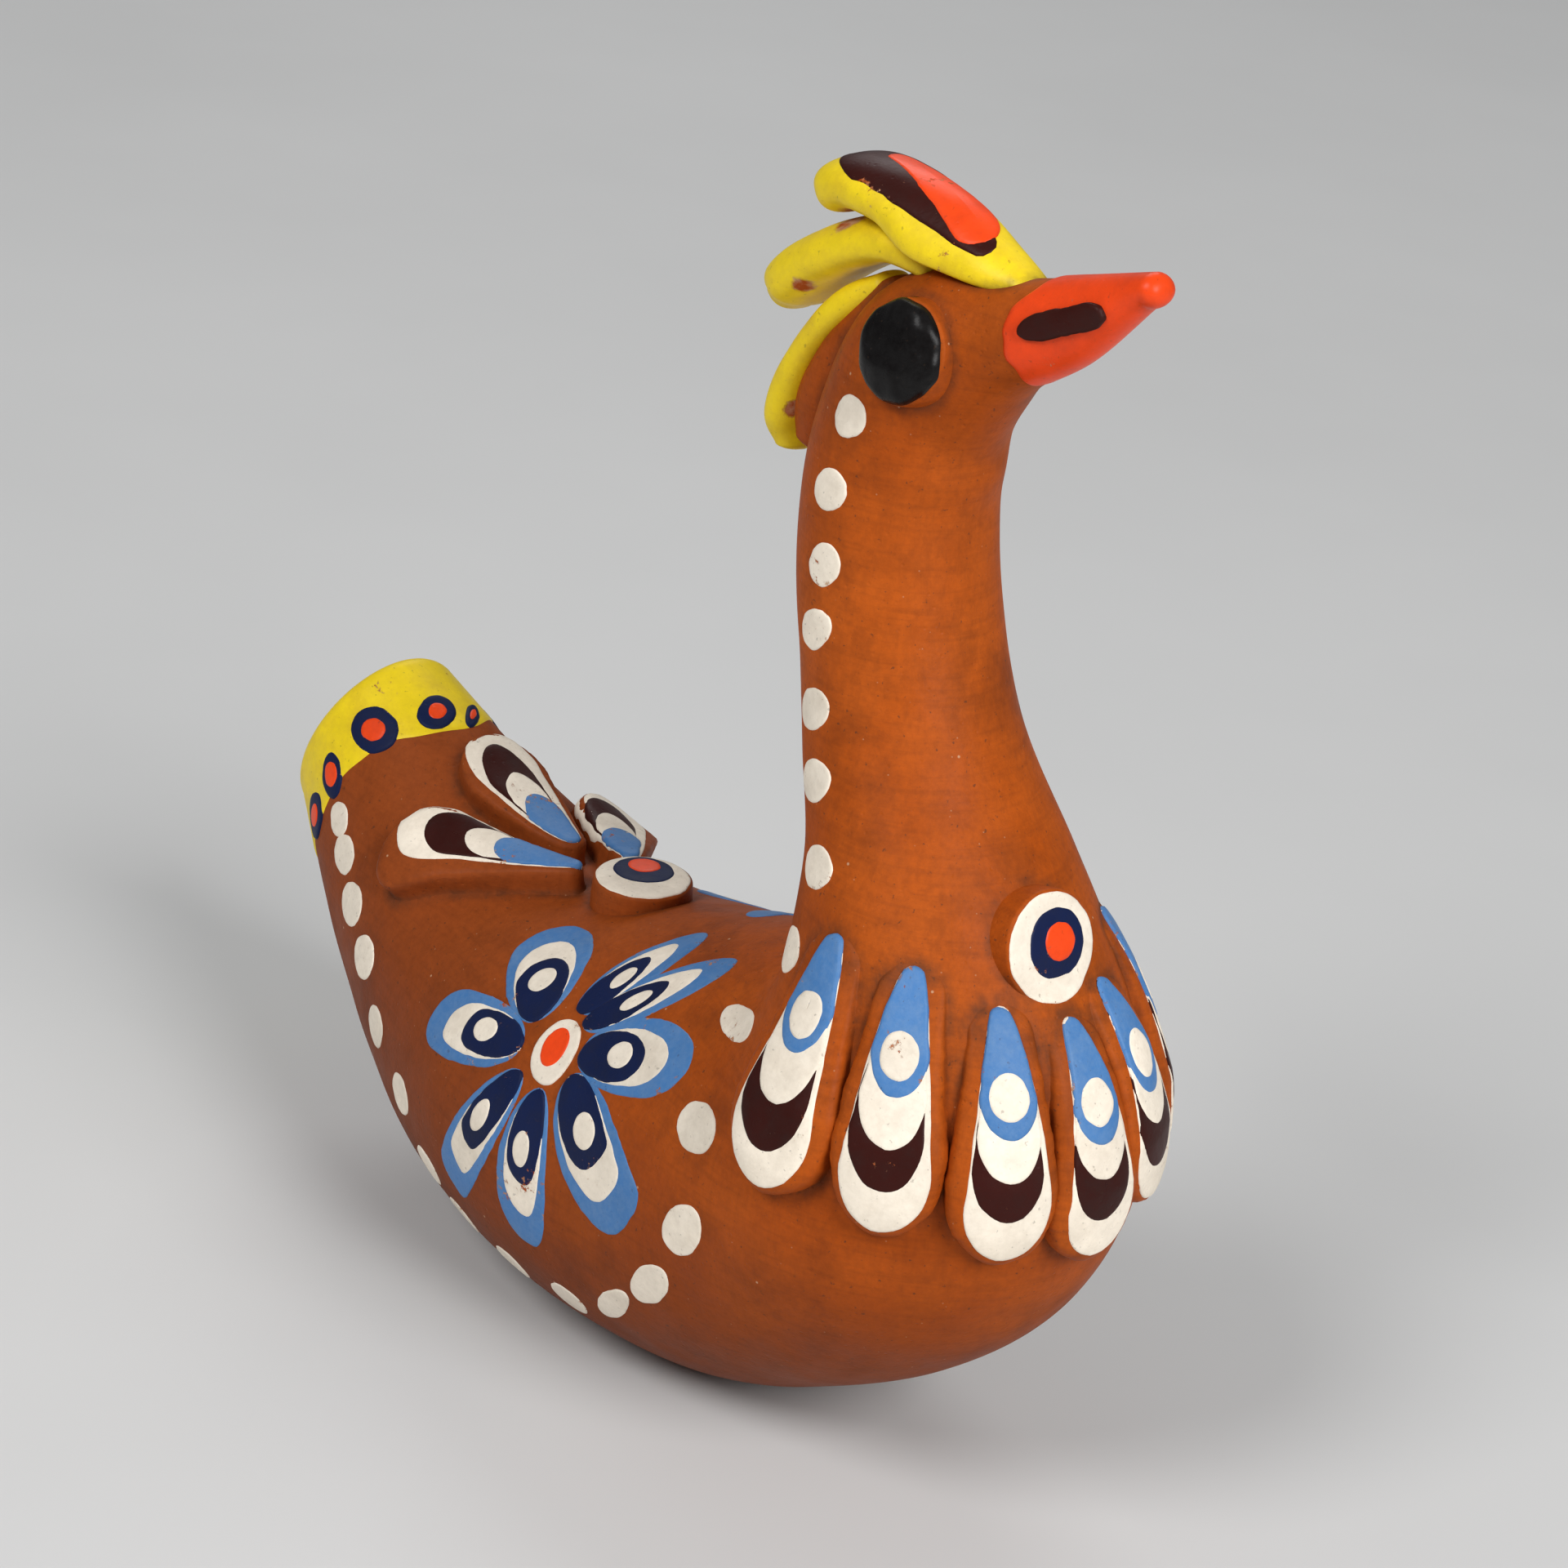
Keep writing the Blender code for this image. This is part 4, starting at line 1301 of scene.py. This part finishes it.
def make_beak_coat():
    angles = round_angles(BODY_SEGMENTS)
    topness = np.clip((1 + np.cos(angles)) / 2, 0, 1) ** 6
    edge = BEAK_EDGE_PLACE + BEAK_EDGE_TOP_MORE * topness + edge_wave(angles, *BEAK_EDGE_WAVE)
    rows = coat_rows(edge, float(LAST_SECTION), BEAK_COAT_ROWS)
    end = rounded_end(LAST_SECTION, angles, BEAK_END_ROUND + COAT_LIFT, 1, -COAT_LIFT)
    return grid_mesh("beak_coat", np.concatenate((rows, end)))


# Colours, linear
CLAY_COLOUR = (0.395, 0.070, 0.005)
CLAY_LIGHT = (0.490, 0.096, 0.009)
CLAY_REAR = (0.290, 0.062, 0.013)
CLAY_DARK = (0.110, 0.024, 0.006)
CLAY_DUST = (0.560, 0.330, 0.190)
# Colour of dark specks of dirt, and of the dirt and painted shade in the creases near joints
DIRT_AND_CREASE_SHADE = (0.050, 0.028, 0.016)
DUST_STAIN = (0.360, 0.270, 0.170)
DARK_STAIN = (0.020, 0.018, 0.016)

# Each paint with its roughness and, as shares, how much is worn off, stained and specked;
# shine is the strength of its reflections and lumps that of its brush marks
PAINTS = {
    "cream": dict(name="cream_paint", colour=(0.960, 0.860, 0.720), stain_colour=DUST_STAIN,
                  roughness=0.58, wear=0.10, stain=0.20, specks=0.35),
    "brown": dict(name="brown_paint", colour=(0.040, 0.006, 0.004), stain_colour=DARK_STAIN,
                  roughness=0.42, wear=0.10, stain=0.30, specks=0.20, shine=0.12),
    "blue": dict(name="blue_paint", colour=(0.066, 0.205, 0.480), stain_colour=(0.30, 0.40, 0.50),
                 roughness=0.48, wear=0.26, stain=0.14, specks=0.40),
    "navy": dict(name="navy_paint", colour=(0.007, 0.015, 0.065), stain_colour=DARK_STAIN,
                 roughness=0.48, wear=0.16, stain=0.30, specks=0.20, shine=0.1),
    "orange": dict(name="orange_paint", colour=(0.960, 0.072, 0.008), stain_colour=(0.35, 0.03, 0.01),
                   roughness=0.38, wear=0.04, stain=0.30, specks=0.30),
    "yellow": dict(name="yellow_paint", colour=(1.000, 0.740, 0.014), stain_colour=(0.50, 0.28, 0.03),
                   roughness=0.42, wear=0.08, stain=0.35, specks=0.35),
    "black": dict(name="black_gloss", colour=(0.004, 0.003, 0.003), stain_colour=(0.03, 0.03, 0.03),
                  roughness=0.26, wear=0.0, stain=0.20, specks=0.30, shine=0.14, lumps=0.8),
}
# Where the yellow has gone from the crest, by pixels of the photo and radius in mm
CREST_BARE_PATCHES = (((1040, 272), 1.5), ((985, 350), 1.2), ((1008, 430), 0.9), ((972, 500), 1.0))

FLOAT = "NodeSocketFloat"
COLOR = "NodeSocketColor"
VECTOR = "NodeSocketVector"


def rgba(colour):
    return (*colour, 1.0)


def new_group(name, inputs, outputs):
    """An empty shader group; inputs are (name, kind, value) and outputs are (name, kind)."""
    tree = bpy.data.node_groups.new(name, "ShaderNodeTree")
    for label, kind, value in inputs:
        socket = tree.interface.new_socket(label, in_out="INPUT", socket_type=kind)
        if value is not None:
            socket.default_value = value
    for label, kind in outputs:
        tree.interface.new_socket(label, in_out="OUTPUT", socket_type=kind)
    return tree, tree.nodes.new("NodeGroupInput"), tree.nodes.new("NodeGroupOutput")


def spread(tree, value, low, high, start=0.0, end=1.0):
    """A value between low and high, spread from start to end and held at both ends."""
    inputs = {"Value": value, "From Min": low, "From Max": high, "To Min": start, "To Max": end}
    return add_node(tree, "ShaderNodeMapRange", inputs).outputs["Result"]


def noise_value(tree, vector, scale, detail, rough=0.5):
    """Noise, 0 to 1; scale counts per metre."""
    inputs = {"Vector": vector, "Scale": scale, "Detail": detail, "Roughness": rough}
    return add_node(tree, "ShaderNodeTexNoise", inputs).outputs["Fac"]


def noise_mask(tree, vector, scale, low, high, detail=4.0, rough=0.6, stretch=None):
    """A soft-edged mask, 0 to 1, from noise; scale counts per metre."""
    if stretch:
        stretched = {"Vector": vector, "Scale": stretch}
        vector = add_node(tree, "ShaderNodeMapping", stretched).outputs["Vector"]
    return spread(tree, noise_value(tree, vector, scale, detail, rough), low, high)


def calculate(tree, operation, first, second):
    return add_node(tree, "ShaderNodeMath", {0: first, 1: second}, operation=operation).outputs[0]


def multiply(tree, first, second):
    return calculate(tree, "MULTIPLY", first, second)


def mix_colour(tree, share, first, second, blend="MIX"):
    """The first colour with a share of the second over it."""
    inputs = {"Factor": share, 6: first, 7: second}
    return add_node(tree, "ShaderNodeMix", inputs, data_type="RGBA", blend_type=blend).outputs[2]


def gradient(tree, vector, axis, low, high):
    """0 to 1 between two places in mm along an axis of the part."""
    parts = add_node(tree, "ShaderNodeSeparateXYZ", {"Vector": vector})
    return spread(tree, parts.outputs[axis], low * MM, high * MM)


def grain_group():
    """Fine pits and low lumps of hand-finished clay, as a height."""
    tree, given, result = new_group("clay_grain", (
        ("Vector", VECTOR, None), ("Lumps", FLOAT, 0.5), ("Fine", FLOAT, 0.5), ("Pits", FLOAT, 0.5),
    ), (("Height", FLOAT),))
    vector = given.outputs["Vector"]
    pits = add_node(tree, "ShaderNodeTexVoronoi", {"Vector": vector, "Scale": 900.0}).outputs["Distance"]
    lumps, fine, pits = (multiply(tree, value, given.outputs[amount]) for value, amount in (
        (noise_value(tree, vector, 420.0, 3.0), "Lumps"),
        (noise_value(tree, vector, 2600.0, 4.0), "Fine"),
        (spread(tree, pits, 0.04, 0.16, -1.0, 0.0), "Pits"),
    ))
    height = calculate(tree, "ADD", calculate(tree, "ADD", lumps, fine), pits)
    tree.links.new(height, result.inputs["Height"])
    return tree


def wear_group():
    """Where paint has gone: small chips and rubbed specks, more of them near a field's rim."""
    tree, given, result = new_group("paint_wear", (
        ("Vector", VECTOR, None), ("Rim", FLOAT, 0.0), ("Amount", FLOAT, 0.2),
    ), (("Mask", FLOAT),))
    vector = given.outputs["Vector"]
    patchy = noise_value(tree, vector, 190.0, 3.0)
    level = multiply(tree, patchy, noise_value(tree, vector, 1500.0, 5.0, 0.7))
    for name, share in (("Rim", 0.05), ("Amount", 0.16)):
        level = calculate(tree, "ADD", level, multiply(tree, given.outputs[name], share))
    tree.links.new(spread(tree, level, 0.42, 0.46), result.inputs["Mask"])
    return tree


def grime_and_crease_shade_group():
    """Dust and handling marks: cloudy staining, fine dark and light specks; dirt and painted shade in the
    creases.
    """
    tree, given, result = new_group("handling_grime", (
        ("Vector", VECTOR, None), ("Color", COLOR, None), ("Stain Color", COLOR, None),
        ("Dirt Color", COLOR, rgba(DIRT_AND_CREASE_SHADE)), ("Stain", FLOAT, 0.3), ("Specks", FLOAT, 0.3),
        ("Crease", FLOAT, 0.0),
    ), (("Color", COLOR),))
    vector = given.outputs["Vector"]
    clouds = noise_mask(tree, vector, 260.0, 0.46, 0.72, 6.0, 0.65)
    fine = noise_mask(tree, vector, 1500.0, 0.40, 0.66, 5.0, 0.7)
    dark_specks = noise_mask(tree, vector, 2300.0, 0.68, 0.75, 2.0, 0.5)
    # Painted shade as well as dirt: patchy darkening of the creases near joints between pieces
    patchy_crease_dirt_and_shade = noise_mask(tree, vector, 520.0, 0.25, 0.62, 4.0, 0.6)
    crease = multiply(tree, patchy_crease_dirt_and_shade, given.outputs["Crease"])
    colour = given.outputs["Color"]
    for mask, amount, other in (
        (clouds, given.outputs["Stain"], "Stain Color"),
        (fine, multiply(tree, given.outputs["Specks"], 0.35), "Stain Color"),
        (dark_specks, given.outputs["Specks"], "Dirt Color"),
        (crease, 0.6, "Dirt Color"),
    ):
        colour = mix_colour(tree, multiply(tree, mask, amount), colour, given.outputs[other])
    tree.links.new(colour, result.inputs["Color"])
    return tree


def patch_group():
    """A ragged round patch about a place."""
    tree, given, result = new_group("ragged_patch", (
        ("Vector", VECTOR, None), ("Centre", VECTOR, None), ("Radius", FLOAT, 0.001),
    ), (("Mask", FLOAT),))
    vector = given.outputs["Vector"]
    places = {0: vector, 1: given.outputs["Centre"]}
    apart = add_node(tree, "ShaderNodeVectorMath", places, operation="DISTANCE").outputs["Value"]
    share = calculate(tree, "DIVIDE", apart, given.outputs["Radius"])
    level = calculate(tree, "ADD", share, noise_value(tree, vector, 900.0, 5.0, 0.7))
    tree.links.new(spread(tree, level, 1.20, 1.50, 1.0, 0.0), result.inputs["Mask"])
    return tree


def new_material(name, shine=0.5):
    material = bpy.data.materials.new(name)
    material.use_nodes = True
    tree = material.node_tree
    shader = tree.nodes["Principled BSDF"]
    shader.inputs["Specular IOR Level"].default_value = shine
    where = add_node(tree, "ShaderNodeTexCoord").outputs["Object"]
    return material, tree, shader, where


def use_group(tree, group, inputs):
    """The output of a group node with its inputs linked or set."""
    return add_node(tree, "ShaderNodeGroup", inputs, node_tree=group).outputs[0]


def clay_material(groups):
    """Burnished red clay, browner at the rear, with painted shade darkening its underside, wiping marks
    and specks.
    """
    material, tree, shader, where = new_material("burnished_clay", 0.09)
    # Nearness to a joint, which brings dirt and painted shade into the creases
    crease = add_node(tree, "ShaderNodeAttribute", attribute_name="crease").outputs["Fac"]
    clouds = noise_mask(tree, where, 75.0, 0.35, 0.68, 5.0, 0.55)
    colour = mix_colour(tree, clouds, rgba(CLAY_COLOUR), rgba(CLAY_LIGHT))
    rear = gradient(tree, where, "X", 8.0, -22.0)
    colour = mix_colour(tree, multiply(tree, rear, 0.85), colour, rgba(CLAY_REAR))
    # Painted shade: the clay grows darker towards the underside, where less light falls
    painted_shade_under = gradient(tree, where, "Z", 32.0, 4.0)
    colour = mix_colour(tree, multiply(tree, painted_shade_under, 0.8), colour, rgba(CLAY_DARK))
    dark = noise_mask(tree, where, 120.0, 0.52, 0.80, 6.0, 0.6)
    colour = mix_colour(tree, multiply(tree, dark, 0.7), colour, rgba(CLAY_DARK))
    for stretch, amount in (((1.0, 1.0, 16.0), 0.22), ((14.0, 14.0, 1.0), 0.14)):
        wiped = noise_mask(tree, where, 110.0, 0.48, 0.72, 4.0, 0.65, stretch)
        colour = mix_colour(tree, multiply(tree, wiped, amount), colour, rgba(CLAY_DARK))
    colour = use_group(tree, groups["grime_and_crease_shade"], {
        "Vector": where, "Color": colour, "Stain Color": rgba(CLAY_DARK), "Stain": 0.2, "Specks": 0.6,
        "Crease": crease,
    })
    for scale, size, amount in ((260.0, 0.040, 0.8), (620.0, 0.055, 0.35)):
        crumbs = add_node(tree, "ShaderNodeTexVoronoi", {"Vector": where, "Scale": scale})
        crumb = spread(tree, crumbs.outputs["Distance"], size * 0.5, size, amount, 0.0)
        colour = mix_colour(tree, crumb, colour, rgba(CLAY_DUST))
    tree.links.new(colour, shader.inputs["Base Color"])
    rough = spread(tree, noise_mask(tree, where, 150.0, 0.3, 0.7), 0.0, 1.0, 0.44, 0.62)
    tree.links.new(rough, shader.inputs["Roughness"])
    height = use_group(tree, groups["grain"], {"Vector": where, "Lumps": 0.5, "Fine": 0.28, "Pits": 0.35})
    bump = add_node(tree, "ShaderNodeBump", {"Height": height, "Strength": 0.5, "Distance": 0.0002})
    tree.links.new(bump.outputs["Normal"], shader.inputs["Normal"])
    return material


def paint_material(groups, patches, name, colour, stain_colour, roughness, wear, stain, specks,
                   shine=0.2, lumps=0.6):
    """Brushed paint with its own tone, stains, worn specks and slightly proud brush marks."""
    material, tree, shader, where = new_material(name, shine)
    # Nearness to a joint, which brings dirt and painted shade into the creases
    rim, tone, crease = (add_node(tree, "ShaderNodeAttribute", attribute_name=given).outputs["Fac"]
                         for given in ("rim", "tone", "crease"))
    cloudy = noise_mask(tree, where, 330.0, 0.3, 0.7)
    bright = spread(tree, calculate(tree, "ADD", cloudy, tone), 0.0, 2.0, 0.84, 1.06)
    grime_and_crease_shade = use_group(tree, groups["grime_and_crease_shade"], {
        "Vector": where, "Color": mix_colour(tree, 1.0, rgba(colour), bright, "MULTIPLY"),
        "Stain Color": rgba(stain_colour), "Stain": stain, "Specks": specks, "Crease": crease,
    })
    worn = use_group(tree, groups["wear"], {"Vector": where, "Rim": rim, "Amount": wear})
    for place, radius in patches:
        patch = {"Vector": where, "Centre": place * MM, "Radius": radius * MM}
        worn = calculate(tree, "MAXIMUM", worn, use_group(tree, groups["patch"], patch))
    bare = mix_colour(tree, noise_mask(tree, where, 700.0, 0.4, 0.62), rgba(CLAY_COLOUR), rgba(CLAY_DUST))
    tree.links.new(mix_colour(tree, worn, grime_and_crease_shade, bare), shader.inputs["Base Color"])
    rough = spread(tree, cloudy, 0.0, 1.0, roughness - 0.06, roughness + 0.08)
    level = add_node(tree, "ShaderNodeMix", {"Factor": worn, 2: rough, 3: 0.75})
    tree.links.new(level.outputs[0], shader.inputs["Roughness"])
    grain = {"Vector": where, "Lumps": lumps, "Fine": 0.25, "Pits": 0.25}
    height = use_group(tree, groups["grain"], grain)
    sunk = calculate(tree, "SUBTRACT", height, worn)
    bump = add_node(tree, "ShaderNodeBump", {"Height": sunk, "Strength": 0.5, "Distance": 0.00015})
    tree.links.new(bump.outputs["Normal"], shader.inputs["Normal"])
    return material


def make_materials(skin):
    makers = {"grain": grain_group, "wear": wear_group, "grime_and_crease_shade": grime_and_crease_shade_group, "patch": patch_group}
    groups = {name: maker() for name, maker in makers.items()}
    patches = {"yellow": [(on_clay(skin, pixel)[0], radius) for pixel, radius in CREST_BARE_PATCHES]}
    materials = {"clay": clay_material(groups)}
    for key, finish in PAINTS.items():
        materials[key] = paint_material(groups, patches.get(key, ()), **finish)
    return materials


def add_piece(obj, material=None):
    """Makes the object a piece of the whistle; laid paint already has its material."""
    if material:
        obj.data.materials.clear()
        obj.data.materials.append(material)
    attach(obj, BODY)
    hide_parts(WHISTLE)


# Studio, in metres and watts: each light's place, size and power
LIGHTS = {
    "key_light": ((0.05, -0.75, 0.80), 0.45, 5.7),
    "fill_light": ((0.85, -0.05, 0.60), 0.5, 7.5),
    "back_light": ((-0.6, 0.5, 0.7), 0.5, 1.9),
}
LIGHT_AIM = (0.0, 0.0, 0.05)
WORLD_COLOUR = (0.95, 0.97, 1.0)
WORLD_STRENGTH = 0.17
FLOOR_SIZE = 3.0
FLOOR_COLOUR = (0.62, 0.62, 0.615)
FLOOR_LIGHT = (0.66, 0.66, 0.655)


def make_floor():
    mesh = bpy.data.meshes.new("studio_floor")
    corners = [(x * FLOOR_SIZE, y * FLOOR_SIZE, 0) for x, y in ((-1, -1), (1, -1), (1, 1), (-1, 1))]
    mesh.from_pydata(corners, [], [(0, 1, 2, 3)])
    floor = make_object("studio_floor", mesh)
    material, tree, shader, where = new_material("pale_floor")
    tone = noise_mask(tree, where, 6.0, 0.3, 0.7)
    colour = mix_colour(tree, tone, rgba(FLOOR_COLOUR), rgba(FLOOR_LIGHT))
    tree.links.new(colour, shader.inputs["Base Color"])
    shader.inputs["Roughness"].default_value = 0.7
    mesh.materials.append(material)


def add_light(name, place, size, power):
    data = bpy.data.lights.new(name, "AREA")
    data.shape = "DISK"
    data.size = size
    data.energy = power
    light = make_object(name, data)
    light.location = place
    light.rotation_mode = "QUATERNION"
    light.rotation_quaternion = (Vector(place) - Vector(LIGHT_AIM)).to_track_quat("Z", "Y")


def make_light():
    for name, values in LIGHTS.items():
        add_light(name, *values)
    world = bpy.data.worlds.new("studio_world")
    world.use_nodes = True
    bpy.context.scene.world = world
    background = world.node_tree.nodes["Background"]
    background.inputs["Color"].default_value = rgba(WORLD_COLOUR)
    background.inputs["Strength"].default_value = WORLD_STRENGTH


def paint_whistle(skin, body_skin):
    """The patches of every colour, not yet laid on the clay."""
    colours = ("cream", "brown", "blue", "navy", "orange")
    pots = {colour: PaintPot(f"{colour}_paint") for colour in colours}
    paint_feathers(pots)
    paint_back_petals(pots)
    paint_rosette(pots, skin)
    paint_dots(pots, skin)
    paint_band_dots(pots, skin)
    paint_disc_faces(pots, body_skin)
    paint_crest(pots)
    paint_beak_strokes(pots, skin)
    return pots


def build():
    make_camera()
    body = grid_mesh("body", whole_body_grid())
    wave_by_hand(body, HAND_WAVE, HAND_WAVE_LENGTH, 3)
    body_skin = Skin([body])
    relief = {
        "chest_feathers": make_feathers(body_skin),
        "back_petals": make_back_petals(body_skin),
        "clay_discs": make_discs(body_skin),
        "eye_bosses": make_eye_bosses(body_skin),
        "crest_web": make_crest_piece("crest_web", CREST_WEB, CREST_WEB_WAVE, 6),
    }
    crest = {
        "crest_front": make_crest_piece("crest_front", CREST_FRONT, CREST_WAVE, 7),
        "crest_middle": make_crest_piece("crest_middle", CREST_MIDDLE, CREST_WAVE, 8),
        "crest_back": make_crest_piece("crest_back", CREST_BACK, CREST_WAVE, 9),
    }
    eyes = make_eyes(body_skin)
    everything = [body, *relief.values(), *crest.values()]
    skin = Skin(everything)
    materials = make_materials(skin)
    canvas = make_object("clay_canvas", join_meshes("clay_canvas", everything))
    tree = lay_on_clay_tree()
    for colour, pot in paint_whistle(skin, body_skin).items():
        add_piece(lay_paint(pot, tree, canvas, materials[colour]))
    bpy.data.objects.remove(canvas)

    clay_body = cut_hollows("clay_body", body)
    mark_creases(clay_body, [*relief.values(), *crest.values(), eyes], CREASE_REACH)
    add_piece(make_object("clay_body", clay_body), materials["clay"])
    for name, mesh in relief.items():
        mark_creases(mesh, [body], CREASE_REACH)
        add_piece(make_object(name, mesh), materials["clay"])
    for name, mesh in crest.items():
        mark_creases(mesh, [body, *(other for other in crest.values() if other != mesh)], CREASE_REACH)
        add_piece(make_object(name, mesh), materials["yellow"])
    add_piece(make_object("eyes", eyes), materials["black"])
    add_piece(make_object("tail_band", make_tail_band()), materials["yellow"])
    add_piece(make_object("beak_coat", make_beak_coat()), materials["orange"])
    make_floor()
    make_light()
    bpy.context.scene.view_settings.view_transform = "Standard"


build()
